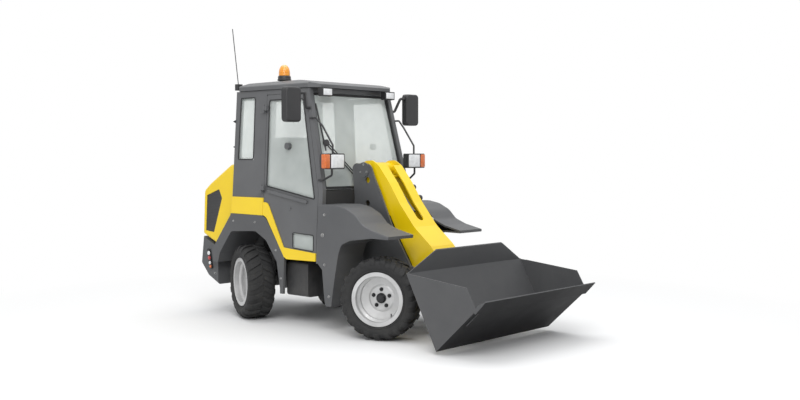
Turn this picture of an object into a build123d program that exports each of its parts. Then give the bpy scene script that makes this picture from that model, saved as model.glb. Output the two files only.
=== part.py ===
from build123d import *
from math import atan2, cos, hypot, radians, sin
import os

os.makedirs("parts", exist_ok=True)

# Compact wheel loader with a rigid frame and all wheels steered, in millimetres.
# +X points forward, +Y to the machine's left, +Z up; the ground is at z = 0.

# Wheels and axles
wheelbase = 1556
front_axle_x = 556
rear_axle_x = front_axle_x - wheelbase
tyre_radius = 330
tyre_width = 250
bead_radius = 190
flange_radius = 216
rim_width = 220
rim_wall = 5
dish_depth = 100
kingpin_y = 450
flange_plane_y = 616
steer_rest = 22
kingpin_radius = 14
spindle_radius = 25
stud_circle = 140
stud_hole_radius = 9
pin_clearance = 0.05
seat_gap = 0.3
housing_radius = 104
shaft_y = 90
shaft_radius = 20

# Frame and tower
rail_y = 150
rail_wall = 15
rail_low = 400
rail_high = 560
rail_rear = -1515
rail_front = 700
tower_pin = (71, 1344)
tower_pin_radius = 25
tower_holes = [(112, 1255), (112, 1060)]
lift_pin = (240, 280)
lift_pin_radius = 18

# Tow jaw
tow_pin_radius = 15

# Boom, measured along the line from the tower pin to the bucket pin
bucket_pin = (1060, 150)
bucket_pin_radius = 22
boom_half_width = 145
boom_plate = 12
slot_width = 76
tilt_pin = (130, 55)
tilt_pin_radius = 14
lift_eye = (360, -70)
tilt_lever = 170
tilt_lever_angle = 150

# Bucket, measured along its floor from the heel
bucket_half_width = 735
bucket_plate = 8
bucket_heel = (1333, 30)
bucket_rollback = 42.8
bucket_floor = 564
bucket_back = (161, 600)
bucket_guard = (292, 704)
guard_flat = 420

# Cab and body
cab_foot_half_width = 606
cab_lean = 3
cab_wall = 40
door_wall = 38
floor_half_width = 504
cab_floor_low = 575
glass_thickness = 5
windshield_foot = (-80, 0, 1176)
windshield_top = (-282, 0, 2000)
fender_y = 570
front_fender_y = 600
fender_wall = 14
hood_half_width = 500
hood_wall = 12
roof_half_width = 515

boom_length = hypot(bucket_pin[0] - tower_pin[0], bucket_pin[1] - tower_pin[1])
boom_slope = atan2(bucket_pin[1] - tower_pin[1], bucket_pin[0] - tower_pin[0])


def side_plane(y):
    """Plane of a side view at width y: sketch x is forward, sketch y is up."""
    return Plane.XZ.offset(-y)


def boom_plane(y):
    """Side plane with its origin on the tower pin and its x along the boom."""
    return Plane(
        origin=(tower_pin[0], y, tower_pin[1]),
        x_dir=(cos(boom_slope), 0, sin(boom_slope)),
        z_dir=(0, -1, 0),
    )


def bucket_plane(y):
    """Side plane with its origin on the bucket's heel and its x along the floor."""
    tilt = radians(bucket_rollback)
    return Plane(
        origin=(bucket_heel[0], y, bucket_heel[1]),
        x_dir=(cos(tilt), 0, sin(tilt)),
        z_dir=(0, -1, 0),
    )


def from_boom(point):
    """Side-view place of a point given along and above the boom's line."""
    s, n = point
    ux, uz = cos(boom_slope), sin(boom_slope)
    return (tower_pin[0] + s * ux - n * uz, tower_pin[1] + s * uz + n * ux)


def from_boom_3d(s, n):
    """Point in space, on the middle plane, given along and above the boom's line."""
    x, z = from_boom((s, n))
    return (x, 0, z)


def to_bucket(point):
    """A side-view place in the bucket's own floor coordinates."""
    tilt = radians(bucket_rollback)
    dx, dz = point[0] - bucket_heel[0], point[1] - bucket_heel[1]
    return (dx * cos(tilt) + dz * sin(tilt), -dx * sin(tilt) + dz * cos(tilt))


def cab_side(depth=0):
    """Leaning plane of the cab's left side, that deep under its outer face."""
    lean = radians(cab_lean)
    return Plane(
        origin=(0, cab_foot_half_width - depth * cos(lean), -depth * sin(lean)),
        x_dir=(1, 0, 0),
        z_dir=(0, -cos(lean), -sin(lean)),
    )


def cab_inner(z, depth=cab_wall):
    """Half width between the cab's sides at a height, that deep under the outer face."""
    lean = radians(cab_lean)
    return cab_foot_half_width - z * sin(lean) / cos(lean) - depth / cos(lean)


def side_skin(outline, depth, wall, rounding=(), grow=0, mode=Mode.ADD):
    """A panel of the cab's left side, from a side outline with some corners rounded."""
    with BuildSketch(cab_side(depth)) as profile:
        with BuildLine():
            Polyline(*outline, close=True)
        make_face()
        for x, z, radius in rounding:
            fillet(profile.vertices().sort_by_distance((x, z, 0))[0], radius)
        if grow:
            offset(amount=grow, kind=Kind.INTERSECTION)
    extrude(profile.sketch, amount=wall, mode=mode)


def slab(outline, y_low, y_high, plane=side_plane, rounding=(), shrink=0, mode=Mode.ADD):
    """Extrude a side outline, with some corners rounded, between two widths."""
    with BuildSketch(plane(y_high)) as profile:
        with BuildLine():
            Polyline(*outline, close=True)
        make_face()
        for x, z, radius in rounding:
            fillet(profile.vertices().sort_by_distance((x, z, 0))[0], radius)
        if shrink:
            offset(amount=-shrink, kind=Kind.INTERSECTION)
    extrude(profile.sketch, amount=y_high - y_low, mode=mode)


def rod_across(centre, radius, y_low, y_high, plane=side_plane, mode=Mode.ADD):
    """A round bar or bore along Y at a side-view point."""
    with BuildSketch(plane(y_high)) as profile:
        with Locations(centre):
            Circle(radius)
    extrude(profile.sketch, amount=y_high - y_low, mode=mode)


def block(x, y, z, mode=Mode.ADD):
    """A box between pairs of x, y and z."""
    centre = ((x[0] + x[1]) / 2, (y[0] + y[1]) / 2, (z[0] + z[1]) / 2)
    with Locations(centre):
        Box(x[1] - x[0], y[1] - y[0], z[1] - z[0], mode=mode)


def tube(points, radius, bend=0):
    """A round bar along a path, with the given bend radius at its corners."""
    with BuildLine() as path:
        if bend and len(points) > 2:
            FilletPolyline(*points, radius=bend)
        else:
            Polyline(*points)
    start = path.line @ 0
    heading = path.line % 0
    with BuildSketch(Plane(origin=start, z_dir=heading)) as profile:
        Circle(radius)
    sweep(profile.sketch, path=path.line, transition=Transition.RIGHT)


def save(piece, name):
    """Label a finished piece and write its file."""
    piece.part.label = name
    export_step(piece.part, f"parts/{name}.step")


# Wheels
# Each corner has a knuckle, a rim and a tyre, all turned to the parked steering angle.
corners = [
    # name, axle x, side, steering angle
    ("front_right", front_axle_x, -1, steer_rest),
    ("front_left", front_axle_x, 1, steer_rest),
    ("rear_right", rear_axle_x, -1, -steer_rest),
    ("rear_left", rear_axle_x, 1, -steer_rest),
]
flange_out = flange_plane_y - kingpin_y
hub_face = flange_out - dish_depth
rim_in = flange_out - rim_width
tyre_middle = flange_out - rim_width / 2
tyre_out = tyre_middle + tyre_width / 2
tyre_in = tyre_middle - tyre_width / 2
drop_radius = bead_radius - 18
kingpin_reach = 127
knuckle_reach = 95

for corner, axle_x, side, steer in corners:
    outward = Vector(-side * sin(radians(steer)), side * cos(radians(steer)), 0)
    origin = Vector(axle_x, side * kingpin_y, tyre_radius)
    section = Plane(origin=origin, x_dir=outward, z_dir=outward.cross(Vector(0, 0, 1)))
    spin = Axis(origin, outward)
    hub_plane = Plane(origin=origin, x_dir=(0, 0, 1), z_dir=outward)

    with BuildPart() as tyre:
        with BuildSketch(section):
            with BuildLine():
                bead_a = (rim_in + 8, bead_radius + 0.3)
                bead_b = (flange_out - 8, bead_radius + 0.3)
                Line(bead_a, bead_b)
                Line(bead_b, (flange_out - 8, flange_radius + 2))
                ThreePointArc(
                    (flange_out - 8, flange_radius + 2),
                    (tyre_out, flange_radius + 50),
                    (tyre_out - 18, tyre_radius - 14),
                )
                Line((tyre_out - 18, tyre_radius - 14), (tyre_out - 45, tyre_radius - 2))
                ThreePointArc(
                    (tyre_out - 45, tyre_radius - 2),
                    (tyre_middle, tyre_radius),
                    (tyre_in + 45, tyre_radius - 2),
                )
                Line((tyre_in + 45, tyre_radius - 2), (tyre_in + 18, tyre_radius - 14))
                ThreePointArc(
                    (tyre_in + 18, tyre_radius - 14),
                    (tyre_in, flange_radius + 50),
                    (rim_in + 8, flange_radius + 2),
                )
                Line((rim_in + 8, flange_radius + 2), bead_a)
            make_face()
        revolve(axis=spin)
    save(tyre, f"{corner}_tyre")

    with BuildPart() as rim:
        with BuildSketch(section):
            with BuildLine():
                Polyline(
                    (flange_out, flange_radius),
                    (flange_out - 7, flange_radius),
                    (flange_out - 7, bead_radius),
                    (flange_out - 40, bead_radius),
                    (flange_out - 56, drop_radius),
                    (rim_in + 50, drop_radius),
                    (rim_in + 34, bead_radius),
                    (rim_in + 7, bead_radius),
                    (rim_in + 7, flange_radius),
                    (rim_in, flange_radius),
                    (rim_in, bead_radius - rim_wall),
                    (rim_in + 36, bead_radius - rim_wall),
                    (rim_in + 52, drop_radius - rim_wall),
                    (hub_face, drop_radius - rim_wall),
                    (hub_face - 14, 110),
                    (hub_face - 8, 95),
                    (hub_face - 8, 50),
                    (hub_face - 32, 50),
                    (hub_face - 32, spindle_radius + pin_clearance),
                    (hub_face - 4, spindle_radius + pin_clearance),
                    (hub_face - 4, 0),
                    (hub_face + 14, 0),
                    (hub_face + 14, 34),
                    (hub_face + 10, 40),
                    (hub_face, 40),
                    (hub_face, 95),
                    (hub_face - 6, 110),
                    (hub_face + 12, drop_radius - rim_wall),
                    (flange_out - 58, drop_radius - rim_wall),
                    (flange_out - 42, bead_radius - rim_wall),
                    (flange_out, bead_radius - rim_wall),
                    close=True,
                )
            make_face()
        revolve(axis=spin)
        with BuildSketch(hub_plane.offset(hub_face + 1)):
            with PolarLocations(stud_circle / 2, 5):
                Circle(stud_hole_radius)
        extrude(amount=-12, mode=Mode.SUBTRACT)
    save(rim, f"{corner}_rim")

    with BuildPart() as knuckle:
        with BuildSketch(Plane.XY.offset(tyre_radius - knuckle_reach)):
            with Locations((axle_x, side * kingpin_y)):
                Circle(30)
        extrude(amount=2 * knuckle_reach)
        with BuildSketch(Plane.XY.offset(tyre_radius - kingpin_reach)):
            with Locations((axle_x, side * kingpin_y)):
                Circle(kingpin_radius)
        extrude(amount=2 * kingpin_reach)
        with BuildSketch(hub_plane):
            Circle(42)
        extrude(amount=hub_face - 46)
        with BuildSketch(hub_plane):
            Circle(spindle_radius)
        extrude(amount=hub_face - 6)
    save(knuckle, f"{corner}_knuckle")

# Axles
# A beam with a round centre housing and a fork at each end for the kingpins.
for axle, axle_x in (("front_axle", front_axle_x), ("rear_axle", rear_axle_x)):
    with BuildPart() as beam:
        with BuildSketch(side_plane(335)):
            with Locations((axle_x, tyre_radius)):
                Circle(52)
        extrude(amount=670)
        with BuildSketch(Plane(origin=(axle_x, 0, tyre_radius), z_dir=(1, 0, 0))):
            with BuildLine():
                Polyline((0, -112), (60, -112), (housing_radius, -50), (housing_radius, 50), (60, 112), (0, 112),
                         close=True)
            make_face()
        revolve(axis=Axis((axle_x, 0, tyre_radius), (0, 1, 0)))
        inward = 1 if axle_x < 0 else -1
        with BuildSketch(Plane(origin=(axle_x, shaft_y, tyre_radius), z_dir=(inward, 0, 0))):
            Circle(shaft_radius + 16)
        extrude(amount=150)
        for side in (-1, 1):
            fork = (side * 330, side * 372) if side > 0 else (side * 372, side * 330)
            reach = (side * 330, side * 484) if side > 0 else (side * 484, side * 330)
            block((axle_x - 36, axle_x + 36), fork, (tyre_radius - kingpin_reach, tyre_radius + kingpin_reach))
            low = tyre_radius - kingpin_reach
            high = tyre_radius + kingpin_reach
            block((axle_x - 36, axle_x + 36), reach, (low, tyre_radius - knuckle_reach - 2))
            block((axle_x - 36, axle_x + 36), reach, (tyre_radius + knuckle_reach + 2, high))
            with Locations(Location((axle_x, side * kingpin_y, tyre_radius))):
                Cylinder(kingpin_radius + pin_clearance, 3 * kingpin_reach, mode=Mode.SUBTRACT)
    save(beam, axle)

# Main frame
# Two rails with cross plates, the loader tower and its pins, in one weldment.
tower_outline = [
    (-72, 1398), (142, 1391), (184, 1290), (257, 1157), (404, 853), (603, 552),
    (603, rail_low), (320, rail_low), (300, 230), (180, 230), (150, rail_low),
    (-60, rail_low), (-60, 700), (-40, 1100),
]
with BuildPart() as frame:
    rail = [
        (rail_rear + seat_gap, rail_low), (rail_front, rail_low), (rail_front, 440), (600, rail_high),
        (rail_rear + seat_gap, rail_high),
    ]
    slab(rail, rail_y, rail_y + rail_wall)
    tower_y = rail_y + rail_wall
    slab(tower_outline, tower_y, tower_y + rail_wall, rounding=[(-72, 1398, 50), (142, 1391, 60), (603, 552, 40)])
    for hole in tower_holes:
        rod_across(hole, 26, tower_y - 1, tower_y + rail_wall + 1, mode=Mode.SUBTRACT)
    # doubler round the tower pin
    rod_across(tower_pin, 62, tower_y + rail_wall, tower_y + rail_wall + 8)
    mirror(about=Plane.XZ)
    rod_across(tower_pin, tower_pin_radius, -tower_y - 8 - rail_wall, tower_y + 8 + rail_wall)
    rod_across(lift_pin, lift_pin_radius, -tower_y - 8 - rail_wall, tower_y + 8 + rail_wall)
    # cross plates between the rails
    for plate_x in (-1490, -1250, -700, -100):
        block((plate_x - 10, plate_x + 10), (-rail_y, rail_y), (rail_low + 20, rail_high - 20))
    # plates that carry the axle housings
    for axle_x in (front_axle_x, rear_axle_x):
        for end in (-1, 1):
            x_near = axle_x + end * (housing_radius + seat_gap)
            x_far = axle_x + end * (housing_radius + 18)
            top = rail_low + 30 if axle_x > 0 else rail_high - 20
            block((min(x_near, x_far), max(x_near, x_far)), (-rail_y, rail_y), (250, top))
    with BuildSketch(Plane.YZ.offset(rear_axle_x)):
        with Locations((shaft_y, tyre_radius)):
            Circle(shaft_radius + 28)
    extrude(amount=wheelbase, mode=Mode.SUBTRACT)
    # pads that carry the cab
    for pad_x in (-500, -110):
        for pad_y in (-162, 102):
            block((pad_x - 40, pad_x + 40), (pad_y, pad_y + 60), (rail_high - 20, cab_floor_low - seat_gap))
    # tower back plate
    block((-60, -45), (-tower_y, tower_y), (rail_high, 1050))
save(frame, "chassis_frame")

with BuildPart() as shaft:
    with BuildSketch(Plane.YZ.offset(rear_axle_x + 150 + seat_gap)):
        with Locations((shaft_y, tyre_radius)):
            Circle(shaft_radius)
    extrude(amount=wheelbase - 300 - 2 * seat_gap)
    block((-780, -720), (20, 145), (260, 395))
save(shaft, "drive_shaft")

with BuildPart() as engine:
    block((-1500, -1262), (-162, 162), (rail_high + seat_gap, 715))
    block((-1640, -1262), (-190, 190), (715, 1060))
save(engine, "engine_block")

# Cab
frame_outline = [
    (-1235, 1092), (-1222, 2040), (-262, 2040), (-55, 1180), (-55, 562), (-106, 562), (-106, 1168), (-296, 2000),
    (-803, 2000), (-803, 1092),
]
quarter_opening = [(-1175, 1425), (-1160, 1985), (-955, 1985), (-955, 1425)]
door_hinge = (-806, 29)
door_hinge_heights = (1150, 1850)
with BuildPart() as cab_frame:
    side_skin(frame_outline, 0, cab_wall)
    side_skin(quarter_opening, 0, cab_wall, mode=Mode.SUBTRACT)
    # hinge pins of the door
    for height in door_hinge_heights:
        pin_plane = cab_side(-door_hinge[1])
        with BuildSketch(Plane(origin=pin_plane.from_local_coords((door_hinge[0], height, 0)),
                               z_dir=pin_plane.y_dir)) as pin:
            Circle(7)
        extrude(pin.sketch, amount=60)
        side_skin([(-840, height - 12), (-796, height - 12), (-796, height), (-840, height)],
                  -door_hinge[1] - 10, door_hinge[1] + 10)
    mirror(about=Plane.XZ)
    cross_y = cab_inner(2020) + 6
    block((-1222, -1180), (-cross_y, cross_y), (1990, 2040))
    block((-330, -275), (-cross_y, cross_y), (2004, 2040))
    cross_y = cab_inner(1340) + 6
    block((-1235, -1195), (-cross_y, cross_y), (1300, 1380))
    for hinge_y in (-300, 300):
        block((-1262, -1235), (hinge_y - 30, hinge_y - 18), (1345, 1412))
        with BuildSketch(side_plane(hinge_y + 30)) as pin:
            with Locations((-1251, 1402)):
                Circle(6)
        extrude(pin.sketch, amount=60)
save(cab_frame, "cab_frame")

roof_low = 2040 + seat_gap
roof_outline = [
    (-1232, roof_low), (-1232, 2072), (-1120, 2112), (-960, 2130), (-600, 2130), (-330, 2104), (-190, 2068),
    (-190, roof_low),
]
with BuildPart() as roof:
    # side outline, crossed with the crowned front outline and the plan with its cut front corners
    slab(roof_outline, -roof_half_width, roof_half_width,
         rounding=[(-1232, 2072, 20), (-1120, 2112, 150), (-960, 2130, 300), (-600, 2130, 400), (-330, 2104, 300)])
    with BuildSketch(Plane.YZ.offset(-1300)) as crown:
        with BuildLine():
            Polyline((-roof_half_width, roof_low), (-roof_half_width, 2078), (-440, 2112), (-300, 2130), (300, 2130),
                     (440, 2112), (roof_half_width, 2078), (roof_half_width, roof_low), close=True)
        make_face()
        for edge_y in (-roof_half_width, roof_half_width):
            fillet(crown.vertices().sort_by_distance((edge_y, 2078, 0))[0], 16)
    extrude(crown.sketch, amount=1200, mode=Mode.INTERSECT)
    with BuildSketch(Plane.XY.offset(2000)) as plan:
        with BuildLine():
            Polyline((-1232, -450), (-1170, -roof_half_width), (-265, -roof_half_width), (-190, -430), (-190, 430),
                     (-265, roof_half_width), (-1170, roof_half_width), (-1232, 450), close=True)
        make_face()
    extrude(plan.sketch, amount=200, mode=Mode.INTERSECT)
save(roof, "cab_roof")

with BuildPart() as cab_floor:
    floor_line = [
        (-62, 1170), (-62, cab_floor_low), (-560, cab_floor_low), (-700, 740), (-790, 812), (-1194, 812), (-1194, 827),
        (-784, 827), (-689, 751), (-553, 590), (-77, 590), (-77, 1170),
    ]
    slab(floor_line, -floor_half_width, floor_half_width)
    block((-1194, -1180), (7 - floor_half_width, floor_half_width - 7), (827, 1299))
save(cab_floor, "cab_floor")

with BuildPart() as windshield:
    rise = Vector(*windshield_top) - Vector(*windshield_foot)
    pane = Plane(origin=windshield_foot, x_dir=(0, 1, 0), z_dir=Vector(0, 1, 0).cross(rise))
    foot, head = cab_inner(1176) - 1, cab_inner(2000) - 1
    with BuildSketch(pane):
        with BuildLine():
            Polyline((-foot, 0), (foot, 0), (head, rise.length), (-head, rise.length), close=True)
        make_face()
    extrude(amount=glass_thickness)
save(windshield, "windshield")

with BuildPart() as rear_glass:
    foot, head = cab_inner(1384) - 1, cab_inner(1986) - 1
    with BuildSketch(Plane(origin=(-1205, 0, 0), x_dir=(0, 1, 0), z_dir=(1, 0, 0))):
        with BuildLine():
            Polyline((-foot, 1380 + seat_gap), (foot, 1380 + seat_gap), (head, 1990 - seat_gap),
                     (-head, 1990 - seat_gap), close=True)
        make_face()
    extrude(amount=glass_thickness)
    side_skin(quarter_opening, 12, glass_thickness, grow=-seat_gap)
    mirror(about=Plane.XZ)
save(rear_glass, "rear_windows")

deck = 827
with BuildPart() as seat:
    block((-1000, -600), (-190, 190), (deck + seat_gap, 930))
save(seat, "seat_base")
with BuildPart() as cushions:
    block((-1010, -540), (-240, 240), (930 + seat_gap, 1030))
    fillet(cushions.edges().filter_by(lambda edge: edge.center().Z > 935), 30)
    back_low = 1030 + seat_gap
    with BuildPart(mode=Mode.PRIVATE) as back_rest:
        slab([(-1000, back_low), (-900, back_low), (-985, 1640), (-1075, 1640)], -230, 230)
        fillet(back_rest.edges().filter_by(lambda edge: edge.center().Z > back_low + 5), 26)
    add(back_rest.part)
save(cushions, "seat_cushions")

with BuildPart() as dash:
    block((-180, -78), (-300, 300), (1010, 1140))
    block((-150, -78), (-120, 120), (590 + seat_gap, 1010))
save(dash, "dashboard")

wheel_centre = (-330, 0, 1270)
with BuildPart() as column:
    tube([(-180 - seat_gap, 0, 1090), (-225, 0, 1090), (-325, 0, 1264)], 20)
    with Locations(Location(wheel_centre, (0, -42, 0))):
        Torus(170, 13)
        Cylinder(30, 30)
        Box(340, 20, 10)
        Box(20, 340, 10)
save(column, "steering_wheel")

console_outline = [
    (-980, deck + seat_gap), (-980, 1180), (-860, 1240), (-420, 1240), (-300, 1150), (-330, 700), (-560, 610),
    (-700, 765), (-780, deck + seat_gap),
]
with BuildPart() as console:
    # arm rest and panel on the operator's right, with the loader's lever
    slab(console_outline, -430, -300, rounding=[(-860, 1240, 60), (-420, 1240, 60), (-300, 1150, 40)])
    with Locations((-480, -365, 1285)):
        Cylinder(9, 110)
    with Locations((-480, -365, 1352)):
        Sphere(30)
save(console, "joystick_console")

# Side panels
arch = [(-568, 310), (-609, 540), (-750, 719), (-894, 793), (-1232, 776), (-1398, 573), (-1430, 480)]
quarter_fender = [
    (-1240, 937.6), (-803, 933.6), (-754, 914), (-511, 590), (-530, 266), (-568, 266),
] + arch + [(-1500, 480), (-1515, 590), (-1240, 925)]
liner = [(-560, 310)] + [(-601, 545), (-744, 727), (-892, 802), (-1236, 785), (-1404, 580), (-1438, 480)] + arch[::-1]
band = [(-1235, 1092 - seat_gap), (-803, 1092 - seat_gap), (-803, 936), (-1235, 940)]
with BuildPart() as quarter_panels:
    slab(quarter_fender, 546, fender_y, rounding=[(-754, 914, 90), (-894, 793, 60), (-750, 719, 60), (-1232, 776, 60)])
    slab(liner, 200, 547, rounding=[(-894, 793, 60), (-750, 719, 60), (-1232, 776, 60), (-892, 802, 69), (-744, 727, 69), (-1236, 785, 69)])
    mirror(about=Plane.XZ)
save(quarter_panels, "quarter_panels")

with BuildPart() as quarter_trims:
    side_skin(band, -8, 40)
    mirror(about=Plane.XZ)
save(quarter_trims, "quarter_trims")

front_fender = [
    (-54.7, 1056), (147, 1060), (262, 1039), (375, 987), (453, 911), (563, 868), (734, 830), (730, 806), (560, 808),
    (319, 778), (216, 737), (181, 653), (157, 545), (121, 361), (97, 218), (30, 218), (15, 293), (-8, 516),
    (-54.7, 560),
]
fender_rounding = [
    (147, 1060, 200), (262, 1039, 150), (375, 987, 150), (453, 911, 90), (563, 868, 200), (319, 778, 80),
    (216, 737, 50), (181, 653, 120), (157, 545, 200), (15, 293, 30),
]
with BuildPart() as front_fenders:
    # moulded shell over the wheel, open towards the frame
    slab(front_fender, 300, front_fender_y, rounding=fender_rounding)
    fillet(front_fenders.faces().sort_by(Axis.Y)[-1].edges().filter_by(lambda edge: edge.center().Z > 830), 12)
    slab(front_fender, 290, front_fender_y - fender_wall, rounding=fender_rounding, shrink=fender_wall,
         mode=Mode.SUBTRACT)
    mirror(about=Plane.XZ)
save(front_fenders, "front_fenders")

with BuildPart() as tanks:
    block((-555, -285), (rail_y + rail_wall + seat_gap, 500), (250, 550))
    fillet(tanks.edges().filter_by(Axis.X), 28)
    mirror(about=Plane.XZ)
save(tanks, "side_tanks")

# Rear end
rear_grille_half = 330
rear_grille_z = (800, 1060)
hood_outline = [
    (-1245, 1394), (-1329, 1376), (-1628, 1203), (-1721, 1135), (-1742, 726), (-1519, 632), (-1245, 962),
]
with BuildPart() as hood:
    slab(hood_outline, -hood_half_width, hood_half_width,
         rounding=[(-1329, 1376, 60), (-1628, 1203, 90), (-1721, 1135, 60), (-1742, 726, 16)])
    shoulders = [
        edge for side_face in (hood.faces().sort_by(Axis.Y)[0], hood.faces().sort_by(Axis.Y)[-1])
        for edge in side_face.edges() if edge.center().Z > 740 and edge.center().X < -1250
    ]
    fillet(shoulders, 24)
    w = hood_wall
    hollow = [
        (-1240, 1400 - w - 3), (-1329 + 3, 1376 - w - 2), (-1628 + 7, 1203 - w), (-1721 + w, 1135 - 8),
        (-1742 + w, 726 - 20), (-1515, 600), (-1240, 900),
    ]
    slab(hollow, -hood_half_width + w, hood_half_width - w, mode=Mode.SUBTRACT)
    grille_opening = [(-1493, 1150), (-1675, 1089), (-1695, 757), (-1573, 744), (-1450, 1067)]
    slab(grille_opening, -hood_half_width - 1, hood_half_width + 1, mode=Mode.SUBTRACT)
    block((-1760, -1700), (-rear_grille_half, rear_grille_half), rear_grille_z, mode=Mode.SUBTRACT)
    for hinge_y in (-300, 300):
        block((-1266, -1236), (hinge_y - 34, hinge_y + 34), (1340, 1413), mode=Mode.SUBTRACT)
        with BuildSketch(side_plane(hinge_y + 28)) as knuckle:
            with Locations((-1251, 1402)):
                Circle(12)
            with BuildLine():
                Polyline((-1251, 1413), (-1290, 1388), (-1290, 1372), (-1255, 1391), close=True)
            make_face()
        extrude(knuckle.sketch, amount=40)
        rod_across((-1251, 1402), 6 + pin_clearance, hinge_y - 40, hinge_y + 40, mode=Mode.SUBTRACT)
save(hood, "engine_hood")

with BuildPart() as grilles:
    with BuildSketch(side_plane(hood_half_width - 3)) as mesh:
        with BuildLine():
            Polyline(*grille_opening, close=True)
        make_face()
        offset(amount=-seat_gap, kind=Kind.INTERSECTION)
    extrude(mesh.sketch, amount=8)
    mirror(about=Plane.XZ)
    # louvred panel in the rear wall
    with BuildSketch(Plane.YZ.offset(-1722)):
        low, high = rear_grille_z
        with Locations((0, (low + high) / 2)):
            Rectangle(2 * (rear_grille_half - seat_gap), high - low - 2 * seat_gap)
            with GridLocations(0, 38, 1, 6):
                Rectangle(2 * rear_grille_half - 60, 16, mode=Mode.SUBTRACT)
    extrude(amount=6)
save(grilles, "hood_grilles")

bumper_outline = [(-1742, 700), (-1515, 606), (-1515, 259), (-1670, 332), (-1777, 447)]
jaw_x = -1712
jaw_z = (425, 485)
with BuildPart() as bumper:
    slab(bumper_outline, -hood_half_width, hood_half_width, rounding=[(-1670, 332, 40), (-1777, 447, 25)])
    corners_back = [
        edge for side_face in (bumper.faces().sort_by(Axis.Y)[0], bumper.faces().sort_by(Axis.Y)[-1])
        for edge in side_face.edges() if edge.center().X < -1640 and edge.center().Z < 640
    ]
    fillet(corners_back, 22)
    # tow jaw: a pocket in the back, open below, with an upper and a lower lip for the pin
    block((-1800, -1660), (-70, 70), (300, 655), mode=Mode.SUBTRACT)
    for lip_low, lip_high in ((jaw_z[0] - 25, jaw_z[0]), (jaw_z[1], jaw_z[1] + 25)):
        block((-1762, -1650), (-55, 55), (lip_low, lip_high))
    with Locations((jaw_x, 0, sum(jaw_z) / 2)):
        Cylinder(tow_pin_radius, 140, mode=Mode.SUBTRACT)
save(bumper, "rear_bumper")

# Lamps and outside fittings
lamp_box = {"x": (0, 60), "y": (400, 627), "z": (1350, 1480)}
with BuildPart() as lamps:
    # headlamps, with the indicator in the outer third
    block(lamp_box["x"], lamp_box["y"], lamp_box["z"])
    fillet(lamps.edges().filter_by(Axis.X), 14)
    block((48, 61), (562, 566), (1340, 1490), mode=Mode.SUBTRACT)
    slab([(-1667, 588), (-1626, 576), (-1588, 396), (-1630, 403)], hood_half_width + seat_gap, hood_half_width + 14,
         rounding=[(-1667, 588, 10), (-1626, 576, 10), (-1588, 396, 10), (-1630, 403, 10)])
    # work lamps under the roof's front edge
    slab([(-205, 1962), (-205, 2040), (-150, 2036), (-150, 1966)], 330, 450, rounding=[(-205, 1962, 14)])
    mirror(about=Plane.XZ)
save(lamps, "lamps")

with BuildPart() as brackets:
    post_y = cab_inner(1778, 0) + 8 + seat_gap
    tube([(-230, post_y, 1778), (-160, post_y, 1778), (-91, 510, 1712), (30, 510, 1550), (30, 510, 1480 + seat_gap)],
         8, bend=20)
    foot_y = cab_inner(1256, 0) + 9 + seat_gap
    tube([(-100, foot_y, 1256), (-50, foot_y, 1256), (30, 520, 1300), (30, 520, 1350 - seat_gap)], 9, bend=15)
    mirror(about=Plane.XZ)
save(brackets, "lamp_brackets")

with BuildPart() as beacon:
    with Locations((-800, -300, 2130 + seat_gap + 22)):
        Cylinder(62, 44)
    with Locations((-800, -300, 2174 + 50)):
        Cylinder(52, 100)
    fillet(beacon.edges().group_by(Axis.Z)[-1], 40)
save(beacon, "beacon")

with BuildPart() as antenna:
    tube([(-1262, -450, 2110), (-1341, -450, 2621)], 4)
    block((-1280, -1232 - seat_gap), (-475, -425), (2055, 2112))
save(antenna, "antenna")

with BuildPart() as mirrors:
    # rounded housing on a bent arm from the front pillar
    with BuildSketch(Plane.YZ.offset(-244)) as housing:
        with Locations((743, 1885)):
            RectangleRounded(170, 290, 34)
    extrude(housing.sketch, amount=62)
    fillet(mirrors.faces().sort_by(Axis.X)[-1].edges(), 18)
    arm_x = -247
    reach_x = -214
    arm_foot = cab_inner(1852, 0) + seat_gap
    tube([(reach_x, 700, 1985), (reach_x, 600, 1985), (arm_x, 556, 1864), (arm_x, arm_foot, 1864)], 12, bend=24)
    mirror(about=Plane.XZ)
save(mirrors, "mirrors")

# The blade lies along the right pillar, and two parallel arms carry it from the pivot.


def on_windshield(y, z, out=0):
    """Point on the windshield's outer face at a width and height, or that far out from it."""
    rise = Vector(*windshield_top) - Vector(*windshield_foot)
    normal = Vector(0, 1, 0).cross(rise).normalized()
    foot = Vector(*windshield_foot) + normal * glass_thickness
    return Vector(foot.X - (z - foot.Z) * -rise.X / rise.Z, y, z) + normal * out


with BuildPart() as wiper:
    tube([tuple(on_windshield(-450, 1900, 16)), tuple(on_windshield(-424, 1500, 16))], 7)
    for shift in (-16, 16):
        tube([tuple(on_windshield(-95 + shift, 1262, 16)), tuple(on_windshield(-402 + shift, 1567, 16))], 5)
    out_of_glass = on_windshield(0, 1262, 1) - on_windshield(0, 1262)
    for joint_y, joint_z, joint_radius in ((-95, 1262, 30), (-402, 1567, 28)):
        with BuildSketch(Plane(origin=on_windshield(joint_y, joint_z, seat_gap), z_dir=out_of_glass)) as joint:
            Circle(joint_radius)
        extrude(joint.sketch, amount=24)
save(wiper, "wiper")

# Rubber buffers and the catches that hold the opened doors, on the rear pillars
with BuildPart() as catches:
    for height, half, reach in ((1770, 38, 34), (1540, 16, 42)):
        catch_y = cab_inner(height, 20)
        with BuildSketch(Plane(origin=(-1235 - seat_gap + 0.0134 * (height - 1092), catch_y, height),
                               z_dir=(-1, 0, 0.0134))) as catch:
            Ellipse(16, half)
        extrude(catch.sketch, amount=reach, taper=18)
    mirror(about=Plane.XZ)
save(catches, "door_catches")

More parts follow.
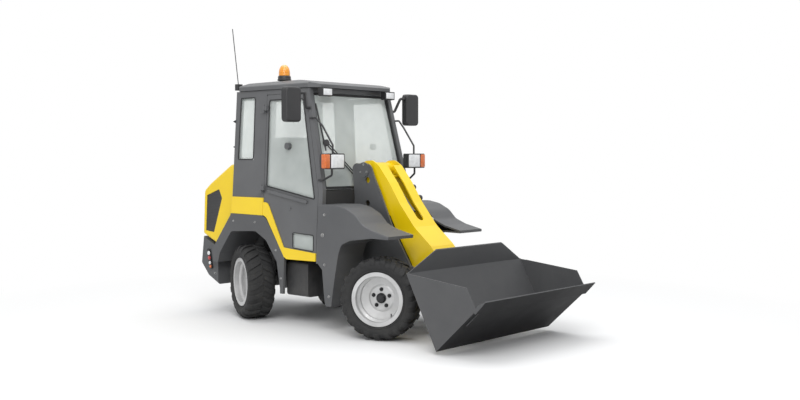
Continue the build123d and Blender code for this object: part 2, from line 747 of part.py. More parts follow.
# Doors
door_outline = [(-799, 1054), (-799, 1996), (-299, 1996), (-110, 1171), (-110, 646), (-511, 672), (-742, 1054)]
door_rounding = [(-742, 1054, 60), (-511, 672, 25), (-299, 1996, 24), (-799, 1996, 14)]
door_window = [(-770, 1192), (-770, 1955), (-327, 1955), (-143, 1091)]
window_rounding = [(x, z, 24) for x, z in door_window]
foot_window = [(-410, 809), (-402, 672), (-140, 655), (-146, 798)]
foot_rounding = [(x, z, 16) for x, z in foot_window]
door_trim = [
    (-799, 1053.7), (-742.2, 1053.7), (-511.2, 671.6), (-110, 645.7), (-110, 578), (-470, 574), (-503, 592),
    (-750, 922), (-799, 940),
]
trim_rounding = [(-742.2, 1053.7, 59.7), (-511.2, 671.6, 25.3), (-750, 922, 70), (-503, 592, 20)]
for side, name in ((-1, "right_door"), (1, "left_door")):
    with BuildPart() as door:
        side_skin(door_outline, 0, door_wall, rounding=door_rounding)
        side_skin(door_window, 0, door_wall, rounding=window_rounding, mode=Mode.SUBTRACT)
        side_skin(foot_window, 0, door_wall, rounding=foot_rounding, mode=Mode.SUBTRACT)
        # upright inside the glass, and the grab rail under it
        side_skin([(-748, 1160), (-748, 1975), (-708, 1975), (-708, 1160)], 15 + seat_gap, 16)
        side_skin([(-735, 1166), (-230, 1084), (-230, 1056), (-735, 1138)], -16, 16,
                  rounding=[(-735, 1166, 12), (-230, 1084, 12), (-230, 1056, 12), (-735, 1138, 12)])
        # latch knob on the glass, and the lock below it
        for knob_at, knob_radius, outer, inner in (((-498, 1545), 30, -22, 10), ((-452, 1010), 13, -6, 4)):
            with BuildSketch(cab_side(outer)) as knob:
                with Locations(knob_at):
                    Circle(knob_radius)
            extrude(knob.sketch, amount=inner - outer - seat_gap)
        # hinge knuckles round the pins of the cab frame
        for height in door_hinge_heights:
            pin_plane = cab_side(-door_hinge[1])
            knuckle_end = pin_plane.from_local_coords((door_hinge[0], height + 10, 0))
            side_skin([(-806, height + 10), (-770, height + 10), (-770, height + 50), (-806, height + 50)],
                      -door_hinge[1] - 4, door_hinge[1] + 4)
            with BuildSketch(Plane(origin=knuckle_end, z_dir=pin_plane.y_dir)) as knuckle:
                Circle(11)
            extrude(knuckle.sketch, amount=40)
            with BuildSketch(Plane(origin=knuckle_end, z_dir=pin_plane.y_dir)) as bore:
                Circle(7 + pin_clearance)
            extrude(bore.sketch, amount=60, both=True, mode=Mode.SUBTRACT)
        if side < 0:
            mirror(about=Plane.XZ, mode=Mode.REPLACE)
    save(door, name)
    with BuildPart() as glass:
        side_skin(door_window, 10, glass_thickness, rounding=window_rounding, grow=-seat_gap)
        side_skin(foot_window, 10, glass_thickness, rounding=foot_rounding, grow=-seat_gap)
        if side < 0:
            mirror(about=Plane.XZ, mode=Mode.REPLACE)
    save(glass, f"{name}_glass")
    with BuildPart() as trim:
        side_skin(door_trim, -8, door_wall, rounding=trim_rounding)
        if side < 0:
            mirror(about=Plane.XZ, mode=Mode.REPLACE)
    save(trim, f"{name}_trim")

# Loader boom
boom_outline = [
    (-70, 30), (-20, 100), (60, 130), (250, 130), (450, 112), (700, 115), (930, 160), (1180, 150), (1480, 60),
    (boom_length + 60, 40), (boom_length + 72, -10), (boom_length + 40, -62), (boom_length - 30, -72), (1350, -95),
    (960, -105), (600, -60), (470, -35), (430, -60), (392, -112), (328, -112), (290, -60), (150, -60), (0, -80),
    (-60, -50),
]
boom_rounding = [
    (-70, 30, 60), (-20, 100, 60), (60, 130, 90), (250, 130, 300), (450, 112, 300), (700, 115, 300), (930, 160, 150),
    (1180, 150, 150), (1480, 60, 200), (boom_length + 60, 40, 24), (boom_length + 72, -10, 40),
    (boom_length + 40, -62, 24), (600, -60, 200), (960, -105, 200), (430, -60, 24), (392, -112, 30), (328, -112, 30),
    (290, -60, 24), (0, -80, 40), (-60, -50, 30),
]
top_skin = [(60, 130), (250, 130), (450, 112), (700, 115), (930, 160), (1180, 150), (1180, 138), (930, 148),
            (702, 103), (448, 100), (250, 118), (60, 118)]
bottom_skin = [(500, -40), (600, -60), (960, -105), (1280, -97), (1280, -85), (962, -93), (602, -48), (502, -28)]
with BuildPart() as boom:
    slab(boom_outline, boom_half_width - boom_plate, boom_half_width, plane=boom_plane, rounding=boom_rounding)
    # doubler plates round the pins
    for s_along, n_up, doubler in ((0, 0, 62), (lift_eye[0], lift_eye[1], 38)):
        rod_across((s_along, n_up), doubler, boom_half_width, boom_half_width + 6, plane=boom_plane)
    mirror(about=Plane.XZ)
    inner = boom_half_width - boom_plate
    slab(top_skin, -inner, inner, plane=boom_plane)
    slab(bottom_skin, -inner, inner, plane=boom_plane)
    # slot for the tilt cylinder, open at the top end and round at the lower end
    slot_plane = Plane(origin=from_boom_3d(600, 60), x_dir=boom_plane(0).x_dir, z_dir=boom_plane(0).y_dir)
    with BuildSketch(slot_plane) as slot:
        with Locations((-350, 0)):
            Rectangle(700, slot_width)
        Circle(slot_width / 2)
    extrude(slot.sketch, amount=200, mode=Mode.SUBTRACT)
    rod_across((0, 0), 60, -boom_half_width, boom_half_width, plane=boom_plane)
    rod_across(tilt_pin, tilt_pin_radius, -boom_half_width, boom_half_width, plane=boom_plane)
    rod_across(lift_eye, 22, 34, boom_half_width, plane=boom_plane)
    rod_across(lift_eye, 22, -boom_half_width, -34, plane=boom_plane)
    rod_across((boom_length, 0), 62, boom_half_width - 50, boom_half_width, plane=boom_plane)
    rod_across((boom_length, 0), 62, -boom_half_width, -boom_half_width + 50, plane=boom_plane)
    rod_across((0, 0), tower_pin_radius + pin_clearance, -200, 200, plane=boom_plane, mode=Mode.SUBTRACT)
    rod_across((boom_length, 0), bucket_pin_radius + pin_clearance, -200, 200, plane=boom_plane, mode=Mode.SUBTRACT)
save(boom, "boom")

# Hydraulic couplings and hose ends on the boom's left side
with BuildPart() as couplers:
    for s_along, n_up, radius, reach in ((263, 77, 17, 30), (378, 56, 17, 30), (609, 33, 27, 62), (721, 2, 27, 62),
                                         (826, 26, 15, 34)):
        rod_across((s_along, n_up), radius, boom_half_width + seat_gap, boom_half_width + reach, plane=boom_plane)
        rod_across((s_along, n_up), radius + 7, boom_half_width + seat_gap, boom_half_width + 10, plane=boom_plane)
save(couplers, "hydraulic_couplers")

# Cylinders
tilt_lever_end = (
    boom_length + tilt_lever * cos(radians(tilt_lever_angle)),
    tilt_lever * sin(radians(tilt_lever_angle)),
)


def cylinder_plane(base, eye):
    """Plane with its x from a cylinder's base pin to its rod eye, both in side view."""
    return Plane(
        origin=(base[0], 0, base[1]), x_dir=(eye[0] - base[0], 0, eye[1] - base[1]), z_dir=(0, -1, 0)
    )


def cylinder_pair(name, base, eye, barrel_length, barrel_radius, rod_radius, base_pin_radius, eye_width):
    """Barrel on its base pin, and rod with its eye; the rod runs in the barrel's bore."""
    plane = cylinder_plane(base, eye)
    length = hypot(eye[0] - base[0], eye[1] - base[1])
    axis = Axis(plane.origin, plane.x_dir)
    with BuildPart() as barrel:
        with BuildSketch(plane):
            with BuildLine():
                Polyline(
                    (barrel_radius * 0.8, 0), (barrel_radius * 0.8, barrel_radius), (barrel_length - 40, barrel_radius),
                    (barrel_length - 40, barrel_radius + 4), (barrel_length, barrel_radius + 4),
                    (barrel_length, rod_radius + pin_clearance),
                    (barrel_radius * 0.8 + 30, rod_radius + pin_clearance), (barrel_radius * 0.8 + 30, 0), close=True,
                )
            make_face()
        revolve(axis=axis)
        with BuildSketch(plane.offset(-eye_width / 2)):
            Circle(base_pin_radius + 18)
        extrude(amount=eye_width)
        with BuildSketch(plane.offset(-eye_width)):
            Circle(base_pin_radius + pin_clearance)
        extrude(amount=2 * eye_width, mode=Mode.SUBTRACT)
    save(barrel, f"{name}_cylinder_barrel")
    with BuildPart() as rod:
        with BuildSketch(plane):
            with BuildLine():
                Polyline((barrel_radius * 0.8 + 34, 0), (barrel_radius * 0.8 + 34, rod_radius), (length - 20, rod_radius),
                         (length - 20, 0), close=True)
            make_face()
        revolve(axis=axis)
        with BuildSketch(plane.offset(-eye_width / 2)):
            with Locations((length, 0)):
                Circle(rod_radius + 12)
        extrude(amount=eye_width)
    save(rod, f"{name}_cylinder_rod")


cylinder_pair("lift", lift_pin, from_boom(lift_eye), 660, 38, 20, lift_pin_radius, 56)
cylinder_pair("tilt", from_boom(tilt_pin), from_boom(tilt_lever_end), 395, 30, 16, tilt_pin_radius, 50)

# Coupler and bucket
pin_local = to_bucket(bucket_pin)
lever_local = to_bucket(from_boom(tilt_lever_end))
back_lean = atan2(bucket_back[0], bucket_back[1])


def behind_back(up, out):
    """Point that far up the bucket's back and that far out behind it."""
    return (up * sin(back_lean) - out * cos(back_lean), up * cos(back_lean) + out * sin(back_lean))


with BuildPart() as coupler:
    plate_outline = [behind_back(150, seat_gap), behind_back(500, seat_gap), behind_back(500, 28), behind_back(150, 28)]
    slab(plate_outline, -300, 300, plane=bucket_plane)
    for side in (-1, 1):
        low, high = (150, 175) if side > 0 else (-175, -150)
        ear = [behind_back(160, 28), behind_back(420, 28), (pin_local[0] + 20, pin_local[1] + 50),
               (pin_local[0] - 45, pin_local[1] + 30), (pin_local[0] - 45, pin_local[1] - 30),
               (pin_local[0] + 10, pin_local[1] - 50)]
        slab(ear, low, high, plane=bucket_plane)
        low, high = (30, 50) if side > 0 else (-50, -30)
        lug = [behind_back(250, 28), behind_back(470, 28), (lever_local[0], lever_local[1] + 34),
               (lever_local[0] - 34, lever_local[1]), (lever_local[0], lever_local[1] - 34),
               (pin_local[0] + 20, pin_local[1] + 34), (pin_local[0] - 34, pin_local[1]), (pin_local[0], pin_local[1] - 34)]
        slab(lug, low, high, plane=bucket_plane)
    rod_across(pin_local, bucket_pin_radius, -182, 182, plane=bucket_plane)
save(coupler, "quick_coupler")

t = bucket_plate
shell_outline = [
    (bucket_floor, 0), (bucket_floor, t + 6), (40, t), (18, 20), behind_back(60, -t), behind_back(621, -t),
    (bucket_guard[0], bucket_guard[1] - 10), bucket_guard, bucket_back, (0, 0),
]
cheek = [(0, 0), (500, 0), (539, 174), (205, 556), bucket_back]
with BuildPart() as bucket:
    slab(shell_outline, -bucket_half_width, bucket_half_width, plane=bucket_plane)
    slab(cheek, bucket_half_width - 10, bucket_half_width, plane=bucket_plane)
    slab(cheek, -bucket_half_width, -bucket_half_width + 10, plane=bucket_plane)
    edge = [(bucket_floor - 90, 0), (bucket_floor - 90, -16), (bucket_floor + 40, -8), (bucket_floor + 40, 0)]
    slab(edge, -bucket_half_width, bucket_half_width, plane=bucket_plane)
    # cut corners of the spill guard, square to its plate
    guard_run = Vector(bucket_guard[0] - bucket_back[0], bucket_guard[1] - bucket_back[1])
    guard_foot = bucket_plane(0).from_local_coords((*bucket_back, 0))
    guard_tip = bucket_plane(0).from_local_coords((*bucket_guard, 0))
    guard_plane = Plane(origin=guard_foot, x_dir=(0, 1, 0), z_dir=Vector(0, 1, 0).cross(guard_tip - guard_foot))
    with BuildSketch(guard_plane) as corner_cut:
        with BuildLine():
            Polyline((guard_flat, guard_run.length + 20), (guard_flat, guard_run.length), (bucket_half_width - 12, 4),
                     (bucket_half_width + 20, 4), (bucket_half_width + 20, guard_run.length + 20), close=True)
        make_face()
        mirror(about=Plane.YZ)
    extrude(corner_cut.sketch, amount=60, both=True, mode=Mode.SUBTRACT)
    # stiffener under the floor's front edge
    slab([(bucket_floor - 250, 0), (bucket_floor - 250, -10), (bucket_floor - 100, -10), (bucket_floor - 100, 0)],
         -bucket_half_width + 60, bucket_half_width - 60, plane=bucket_plane)
save(bucket, "bucket")
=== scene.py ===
import math

import bmesh
import bpy
from mathutils import Matrix, Vector


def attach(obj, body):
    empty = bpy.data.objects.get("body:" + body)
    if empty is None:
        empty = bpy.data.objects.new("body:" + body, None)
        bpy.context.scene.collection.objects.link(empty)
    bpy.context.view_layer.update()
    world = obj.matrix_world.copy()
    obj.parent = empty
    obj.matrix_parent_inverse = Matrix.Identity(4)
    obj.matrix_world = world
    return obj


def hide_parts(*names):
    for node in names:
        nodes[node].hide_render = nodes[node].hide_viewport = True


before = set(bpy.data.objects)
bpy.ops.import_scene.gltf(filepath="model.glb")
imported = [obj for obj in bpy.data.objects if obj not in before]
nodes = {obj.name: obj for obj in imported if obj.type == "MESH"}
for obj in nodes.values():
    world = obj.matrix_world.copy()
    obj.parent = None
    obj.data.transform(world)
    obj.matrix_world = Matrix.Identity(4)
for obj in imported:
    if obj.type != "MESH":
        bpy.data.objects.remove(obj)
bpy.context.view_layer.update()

# Chassis rails, tower and axles of the loader.
# Welded plate and iron castings, sprayed dark grey, with a little dust low down.
# The paint's tone, grain and dust are shared by every finish on the machine.


def new_group(name, inputs, outputs):
    """An empty shader node group with named sockets, and its input and output nodes."""
    group = bpy.data.node_groups.new(name, "ShaderNodeTree")
    kinds = {"colour": "NodeSocketColor", "value": "NodeSocketFloat", "vector": "NodeSocketVector"}
    for label, kind, start in inputs:
        socket = group.interface.new_socket(name=label, in_out="INPUT", socket_type=kinds[kind])
        if start is not None:
            socket.default_value = start
    for label, kind in outputs:
        group.interface.new_socket(name=label, in_out="OUTPUT", socket_type=kinds[kind])
    return group, group.nodes.new("NodeGroupInput"), group.nodes.new("NodeGroupOutput")


def noise_in(tree, vector, scale, detail=3.0, roughness=0.55):
    """A noise texture on a vector; scale is a number or a socket."""
    noise = tree.nodes.new("ShaderNodeTexNoise")
    tree.links.new(vector, noise.inputs["Vector"])
    noise.inputs["Detail"].default_value = detail
    noise.inputs["Roughness"].default_value = roughness
    if isinstance(scale, (int, float)):
        noise.inputs["Scale"].default_value = scale
    else:
        tree.links.new(scale, noise.inputs["Scale"])
    return noise.outputs["Fac"]


def ranged(tree, value, low, high, out_low=0.0, out_high=1.0):
    """A clamped map range node on a value."""
    node = tree.nodes.new("ShaderNodeMapRange")
    for socket, number in (("From Min", low), ("From Max", high), ("To Min", out_low),
                           ("To Max", out_high)):
        if isinstance(number, (int, float)):
            node.inputs[socket].default_value = number
        else:
            tree.links.new(number, node.inputs[socket])
    tree.links.new(value, node.inputs["Value"])
    return node.outputs["Result"]


def blended(tree, factor, first, second):
    """Mix two colours by a factor."""
    node = tree.nodes.new("ShaderNodeMix")
    node.data_type = "RGBA"
    tree.links.new(factor, node.inputs["Factor"])
    for socket, colour in ((node.inputs[6], first), (node.inputs[7], second)):
        if isinstance(colour, tuple):
            socket.default_value = (*colour, 1.0)
        else:
            tree.links.new(colour, socket)
    return node.outputs[2]


def combined(tree, operation, first, second, clamp=False):
    """Add or multiply two sockets."""
    node = tree.nodes.new("ShaderNodeMath")
    node.operation = operation
    node.use_clamp = clamp
    tree.links.new(first, node.inputs[0])
    tree.links.new(second, node.inputs[1])
    return node.outputs[0]


tone_group, tone_in, tone_out = new_group(
    "tone_and_grain",
    [("Vector", "vector", None), ("Low tone", "colour", None), ("High tone", "colour", None),
     ("Patch scale", "value", 3.0), ("Grain scale", "value", 400.0), ("Rough low", "value", 0.4),
     ("Rough high", "value", 0.5)],
    [("Colour", "colour"), ("Roughness", "value"), ("Grain", "value")],
)
patches = noise_in(tone_group, tone_in.outputs["Vector"], tone_in.outputs["Patch scale"], 4.0)
patch_mask = ranged(tone_group, patches, 0.35, 0.65)
tone_group.links.new(
    blended(tone_group, patch_mask, tone_in.outputs["Low tone"], tone_in.outputs["High tone"]),
    tone_out.inputs["Colour"])
tone_group.links.new(
    ranged(tone_group, patches, 0.3, 0.7, tone_in.outputs["Rough low"],
           tone_in.outputs["Rough high"]),
    tone_out.inputs["Roughness"])
tone_group.links.new(
    noise_in(tone_group, tone_in.outputs["Vector"], tone_in.outputs["Grain scale"], 2.0),
    tone_out.inputs["Grain"])

dust_group, dust_in, dust_out = new_group(
    "ground_dust",
    [("Vector", "vector", None), ("Colour", "colour", None), ("Dust colour", "colour", None),
     ("Top", "value", 0.9), ("Amount", "value", 0.3)],
    [("Colour", "colour"), ("Mask", "value")],
)
dust_split = dust_group.nodes.new("ShaderNodeSeparateXYZ")
dust_group.links.new(dust_in.outputs["Vector"], dust_split.inputs["Vector"])
dust_height = ranged(dust_group, dust_split.outputs["Z"], dust_in.outputs["Top"], 0.0)
dust_clouds = ranged(dust_group, noise_in(dust_group, dust_in.outputs["Vector"], 7.0, 6.0, 0.65),
                     0.35, 0.75)
dust_spread = combined(dust_group, "MULTIPLY", dust_height, dust_clouds)
dust_mask = combined(dust_group, "MULTIPLY", dust_spread, dust_in.outputs["Amount"])
dust_group.links.new(
    blended(dust_group, dust_mask, dust_in.outputs["Colour"], dust_in.outputs["Dust colour"]),
    dust_out.inputs["Colour"])
dust_group.links.new(dust_mask, dust_out.inputs["Mask"])

edge_group, edge_in, edge_out = new_group(
    "edge_wear",
    [("Vector", "vector", None), ("Colour", "colour", None), ("Bare colour", "colour", None),
     ("Radius", "value", 0.004), ("Amount", "value", 0.5)],
    [("Colour", "colour"), ("Mask", "value")],
)
edge_round = edge_group.nodes.new("ShaderNodeBevel")
edge_round.samples = 4
edge_group.links.new(edge_in.outputs["Radius"], edge_round.inputs["Radius"])
edge_face = edge_group.nodes.new("ShaderNodeNewGeometry")
edge_dot = edge_group.nodes.new("ShaderNodeVectorMath")
edge_dot.operation = "DOT_PRODUCT"
edge_group.links.new(edge_round.outputs["Normal"], edge_dot.inputs[0])
edge_group.links.new(edge_face.outputs["Normal"], edge_dot.inputs[1])
edge_line = ranged(edge_group, edge_dot.outputs["Value"], 0.99, 0.86)
edge_break = ranged(edge_group, noise_in(edge_group, edge_in.outputs["Vector"], 28.0, 5.0, 0.7),
                    0.42, 0.62)
edge_spread = combined(edge_group, "MULTIPLY", edge_line, edge_break)
edge_mask = combined(edge_group, "MULTIPLY", edge_spread, edge_in.outputs["Amount"])
edge_group.links.new(
    blended(edge_group, edge_mask, edge_in.outputs["Colour"], edge_in.outputs["Bare colour"]),
    edge_out.inputs["Colour"])
edge_group.links.new(edge_mask, edge_out.inputs["Mask"])


dust_tone = (0.27, 0.26, 0.24, 1.0)
worn_edge = 0.004
coat_roughness = 0.12


def finish(name, low, high, rough=(0.4, 0.5), patch=3.0, grain=400.0, bump=0.1, depth=0.0004,
           dust=0.25, wear=0.0, metallic=0.0, coat=0.0, specular=0.5, bare=(0.36, 0.36, 0.37),
           dust_top=0.9):
    """A painted, moulded or cast surface: two tones, fine grain, low dust and worn edges."""
    material = bpy.data.materials.new(name)
    material.use_nodes = True
    tree = material.node_tree
    shader = tree.nodes["Principled BSDF"]
    place = tree.nodes.new("ShaderNodeTexCoord")
    tone = tree.nodes.new("ShaderNodeGroup")
    tone.node_tree = tone_group
    tone.inputs["Low tone"].default_value = (*low, 1.0)
    tone.inputs["High tone"].default_value = (*high, 1.0)
    tone.inputs["Patch scale"].default_value = patch
    tone.inputs["Grain scale"].default_value = grain
    tone.inputs["Rough low"].default_value, tone.inputs["Rough high"].default_value = rough
    tree.links.new(place.outputs["Object"], tone.inputs["Vector"])
    colour = tone.outputs["Colour"]
    for amount, group, settings in (
            (wear, edge_group, {"Bare colour": (*bare, 1.0), "Radius": worn_edge}),
            (dust, dust_group, {"Dust colour": dust_tone, "Top": dust_top})):
        if amount:
            layer = tree.nodes.new("ShaderNodeGroup")
            layer.node_tree = group
            for label, value in settings.items():
                layer.inputs[label].default_value = value
            layer.inputs["Amount"].default_value = amount
            tree.links.new(place.outputs["Object"], layer.inputs["Vector"])
            tree.links.new(colour, layer.inputs["Colour"])
            colour = layer.outputs["Colour"]
    tree.links.new(colour, shader.inputs["Base Color"])
    tree.links.new(tone.outputs["Roughness"], shader.inputs["Roughness"])
    relief = tree.nodes.new("ShaderNodeBump")
    relief.inputs["Strength"].default_value = bump
    relief.inputs["Distance"].default_value = depth
    tree.links.new(tone.outputs["Grain"], relief.inputs["Height"])
    tree.links.new(relief.outputs["Normal"], shader.inputs["Normal"])
    shader.inputs["Metallic"].default_value = metallic
    shader.inputs["Coat Weight"].default_value = coat
    shader.inputs["Coat Roughness"].default_value = coat_roughness
    shader.inputs["Specular IOR Level"].default_value = specular
    return material


def paint_shade_below(material, colour):
    """Turn faces that look down to another colour, as painted shade on the part's underside."""
    tree = material.node_tree
    shader = tree.nodes["Principled BSDF"]
    split = tree.nodes.new("ShaderNodeSeparateXYZ")
    tree.links.new(tree.nodes["Texture Coordinate"].outputs["Normal"], split.inputs["Vector"])
    # faces that look down take the given dark colour: painted shade
    shade_mask = ranged(tree, split.outputs["Z"], -0.25, -0.6)
    painted = shader.inputs["Base Color"].links[0].from_socket
    tree.links.new(blended(tree, shade_mask, painted, colour), shader.inputs["Base Color"])


def coat_nodes(material, *names):
    """Give CAD nodes this material in every slot they have."""
    for name in names:
        mesh = nodes[name].data
        if not mesh.materials:
            mesh.materials.append(material)
        for index in range(len(mesh.materials)):
            mesh.materials[index] = material


grey_paint = finish("dark_grey_paint", (0.088, 0.090, 0.094), (0.104, 0.106, 0.110),
                    rough=(0.42, 0.52), wear=0.25, coat=0.15)
cast_paint = finish("cast_iron_paint", (0.040, 0.041, 0.043), (0.058, 0.059, 0.061),
                    rough=(0.55, 0.7), grain=160.0, bump=0.5, depth=0.0012, dust=0.5)
black_paint = finish("black_satin_paint", (0.016, 0.016, 0.017), (0.026, 0.026, 0.028),
                     rough=(0.35, 0.45), dust=0.3)
coat_nodes(grey_paint, "chassis_frame")
coat_nodes(cast_paint, "front_axle", "rear_axle", "engine_block", "front_right_knuckle",
           "front_left_knuckle", "rear_right_knuckle", "rear_left_knuckle")
coat_nodes(black_paint, "drive_shaft")

# Tyres on 15 inch rims: black rubber with deep cross lugs that turn down over the shoulders.
# The carcass is spun about the axle, and one lug on each side is repeated round it.
tyre_rubber = finish("tyre_rubber", (0.014, 0.014, 0.015), (0.024, 0.024, 0.024), rough=(0.62, 0.8),
                     patch=9.0, grain=900.0, bump=0.35, depth=0.0006, dust=0.1, specular=0.35,
                     dust_top=0.8)
axle_height = 0.330
half_track = 0.450
front_axle_x, rear_axle_x = 0.556, -1.000
steer_angle = 22.0
# where each wheel stands: axle along the machine, side, and the angle it is steered to at rest
wheel_places = {
    "front_right": (front_axle_x, -1, steer_angle), "front_left": (front_axle_x, 1, steer_angle),
    "rear_right": (rear_axle_x, -1, -steer_angle), "rear_left": (rear_axle_x, 1, -steer_angle),
}
# half section from the middle of the tread down to the bead, as axial and radial distances
carcass_half = [
    (0.0, 0.3165), (0.045, 0.3160), (0.080, 0.3125), (0.100, 0.3060), (0.112, 0.2960),
    (0.1195, 0.2820), (0.1225, 0.2640), (0.1205, 0.2480), (0.1150, 0.2360), (0.1175, 0.2330),
    (0.1175, 0.2270), (0.1120, 0.2230), (0.1030, 0.2195), (0.1020, 0.1905),
]
# one lug from the side, as axial and radial distances
lug_section = [
    (0.004, 0.304), (0.004, 0.3290), (0.045, 0.3285), (0.083, 0.3250), (0.106, 0.3150),
    (0.1205, 0.2950), (0.1245, 0.2720), (0.1180, 0.2660), (0.1080, 0.2900), (0.090, 0.304),
]
tread_middle = 0.056
lug_count = 21
lug_width = 0.042
merge_gap = 0.00005
sharp_angle = math.radians(38)


def wheel_matrix(corner):
    """Places a wheel built with its axle along +X, outer face towards +X."""
    axle_x, side, steer = wheel_places[corner]
    turn = math.radians(steer)
    outward = Vector((-side * math.sin(turn), side * math.cos(turn), 0.0))
    forward = Vector((0.0, 0.0, 1.0)).cross(outward)
    spin_frame = Matrix((outward, forward, Vector((0.0, 0.0, 1.0)))).transposed().to_4x4()
    return Matrix.Translation((axle_x, side * half_track, axle_height)) @ spin_frame


def new_piece(name, bm, material, body, place=None, smooth=True):
    """Write a bmesh out as a finished piece that rides on a body."""
    if place is not None:
        bmesh.ops.transform(bm, matrix=place, verts=bm.verts)
    bmesh.ops.recalc_face_normals(bm, faces=bm.faces)
    mesh = bpy.data.meshes.new(name)
    bm.to_mesh(mesh)
    bm.free()
    for face in mesh.polygons:
        face.use_smooth = smooth
    if smooth:
        mesh.set_sharp_from_angle(angle=sharp_angle)
    mesh.materials.append(material)
    piece = bpy.data.objects.new(name, mesh)
    bpy.context.scene.collection.objects.link(piece)
    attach(piece, body)
    return piece


def poured(part, bm):
    """Add a finished bmesh to another one, and free it."""
    loose = bpy.data.meshes.new("loose")
    part.to_mesh(loose)
    part.free()
    bm.from_mesh(loose)
    bpy.data.meshes.remove(loose)


def verts_of(result):
    """The vertices in what a bmesh operator gives back."""
    return [v for v in result["geom"] if isinstance(v, bmesh.types.BMVert)]


def ring_of(bm, points):
    """A closed loop of edges through a few points."""
    verts = [bm.verts.new(point) for point in points]
    return [bm.edges.new((verts[i], verts[(i + 1) % len(verts)])) for i in range(len(verts))]


def spun(bm, points, centre, axis, steps):
    """Turn an open profile once round an axis."""
    verts = [bm.verts.new(point) for point in points]
    edges = [bm.edges.new(pair) for pair in zip(verts, verts[1:])]
    bmesh.ops.spin(bm, geom=edges, cent=centre, axis=axis, angle=math.tau, steps=steps,
                   use_merge=True)


for corner in wheel_places:
    bm = bmesh.new()
    outline = [(tread_middle + a, 0.0, r) for a, r in carcass_half]
    outline += [(tread_middle - a, 0.0, r) for a, r in carcass_half[:0:-1]]
    section = ring_of(bm, outline)
    bmesh.ops.spin(bm, geom=section, cent=(0, 0, 0), axis=(1, 0, 0), angle=math.tau, steps=84,
                   use_merge=True)
    bmesh.ops.remove_doubles(bm, verts=bm.verts, dist=merge_gap)
    for side in (1, -1):
        lug = bmesh.new()
        corners = [lug.verts.new((a, -lug_width / 2, r)) for a, r in lug_section]
        flat = lug.faces.new(corners)
        grown = bmesh.ops.extrude_face_region(lug, geom=[flat])
        bmesh.ops.translate(lug, vec=(0, lug_width, 0), verts=verts_of(grown))
        bmesh.ops.recalc_face_normals(lug, faces=lug.faces)
        # only the edges of the outer face are broken
        crest = [e for e in lug.edges
                 if min(v.co.z for v in e.verts) > 0.27 and min(v.co.x for v in e.verts) > 0.0]
        bmesh.ops.bevel(lug, geom=crest, offset=0.0035, segments=1, profile=0.5, affect="EDGES",
                        material=-1, clamp_overlap=True)
        for vert in lug.verts:
            # the lug sweeps back from the middle to the shoulder and widens on the way
            vert.co.y *= 0.82 + 3.0 * vert.co.x
            sweep_back = -0.62 * vert.co.x / axle_height * (1.0 - 2.2 * vert.co.x)
            vert.co = Matrix.Rotation(sweep_back, 3, "X") @ vert.co
        if side < 0:
            bmesh.ops.scale(lug, vec=(-1, 1, 1), verts=lug.verts)
            half_pitch = Matrix.Rotation(math.pi / lug_count, 3, "X")
            bmesh.ops.rotate(lug, cent=(0, 0, 0), matrix=half_pitch, verts=lug.verts)
            bmesh.ops.reverse_faces(lug, faces=lug.faces)
        bmesh.ops.translate(lug, vec=(tread_middle, 0, 0), verts=lug.verts)
        bmesh.ops.spin(lug, geom=lug.verts[:] + lug.edges[:] + lug.faces[:], cent=(0, 0, 0),
                       axis=(1, 0, 0), angle=math.tau * (lug_count - 1) / lug_count,
                       steps=lug_count - 1, use_duplicate=True)
        poured(lug, bm)
    tyre = new_piece(f"{corner}_tread", bm, tyre_rubber, f"wheel_{corner}",
                     place=wheel_matrix(corner))
    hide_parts(f"{corner}_tyre")

# Wheel discs: pressed steel in silver paint, with five nuts, a dark hub cap and a valve.
# The nuts are six-sided with flat washers, and the cap is spun.
wheel_silver = finish("wheel_silver_paint", (0.50, 0.50, 0.50), (0.60, 0.60, 0.60),
                      rough=(0.34, 0.46), patch=6.0, grain=700.0, dust=0.28, metallic=0.35,
                      coat=0.2)
nut_steel = finish("dark_wheel_nuts", (0.020, 0.020, 0.022), (0.045, 0.045, 0.047),
                   rough=(0.35, 0.5), metallic=0.6, patch=30.0, dust=0.0)
hub_face = 0.0662
nut_count, nut_circle = 5, 0.070
# radius, foot, top and number of sides of a nut's washer, its body and the stud's end
nut_parts = ((0.0165, 0.0, 0.004, 24), (0.0125, 0.003, 0.017, 6), (0.007, 0.016, 0.024, 12))
cap_profile = [(0.0, 0.041), (0.010, 0.041), (0.014, 0.037), (0.026, 0.035), (0.031, 0.030),
               (0.032, 0.0)]
valve_place = (Matrix.Rotation(math.radians(-140), 4, "X") @ Matrix.Translation((0.128, 0.0, 0.164))
               @ Matrix.Rotation(math.radians(60), 4, "Y"))
for corner in wheel_places:
    coat_nodes(wheel_silver, f"{corner}_rim")
    bm = bmesh.new()
    spun(bm, [(hub_face + a, 0.0, r) for a, r in cap_profile], (0, 0, 0), (1, 0, 0), 40)
    bmesh.ops.remove_doubles(bm, verts=bm.verts, dist=merge_gap)
    for number in range(nut_count):
        turn = Matrix.Rotation(math.tau * number / nut_count, 4, "X")
        for radius, low, high, sides in nut_parts:
            spot = (turn @ Matrix.Translation((hub_face + (low + high) / 2, 0.0, nut_circle))
                    @ Matrix.Rotation(math.pi / 2, 4, "Y"))
            bmesh.ops.create_cone(bm, cap_ends=True, segments=sides, radius1=radius,
                                  radius2=radius * 0.94, depth=high - low, matrix=spot)
    bmesh.ops.create_cone(bm, cap_ends=True, segments=12, radius1=0.006, radius2=0.004, depth=0.034,
                          matrix=valve_place)
    new_piece(f"{corner}_hub_nuts", bm, nut_steel, f"wheel_{corner}",
              place=wheel_matrix(corner))

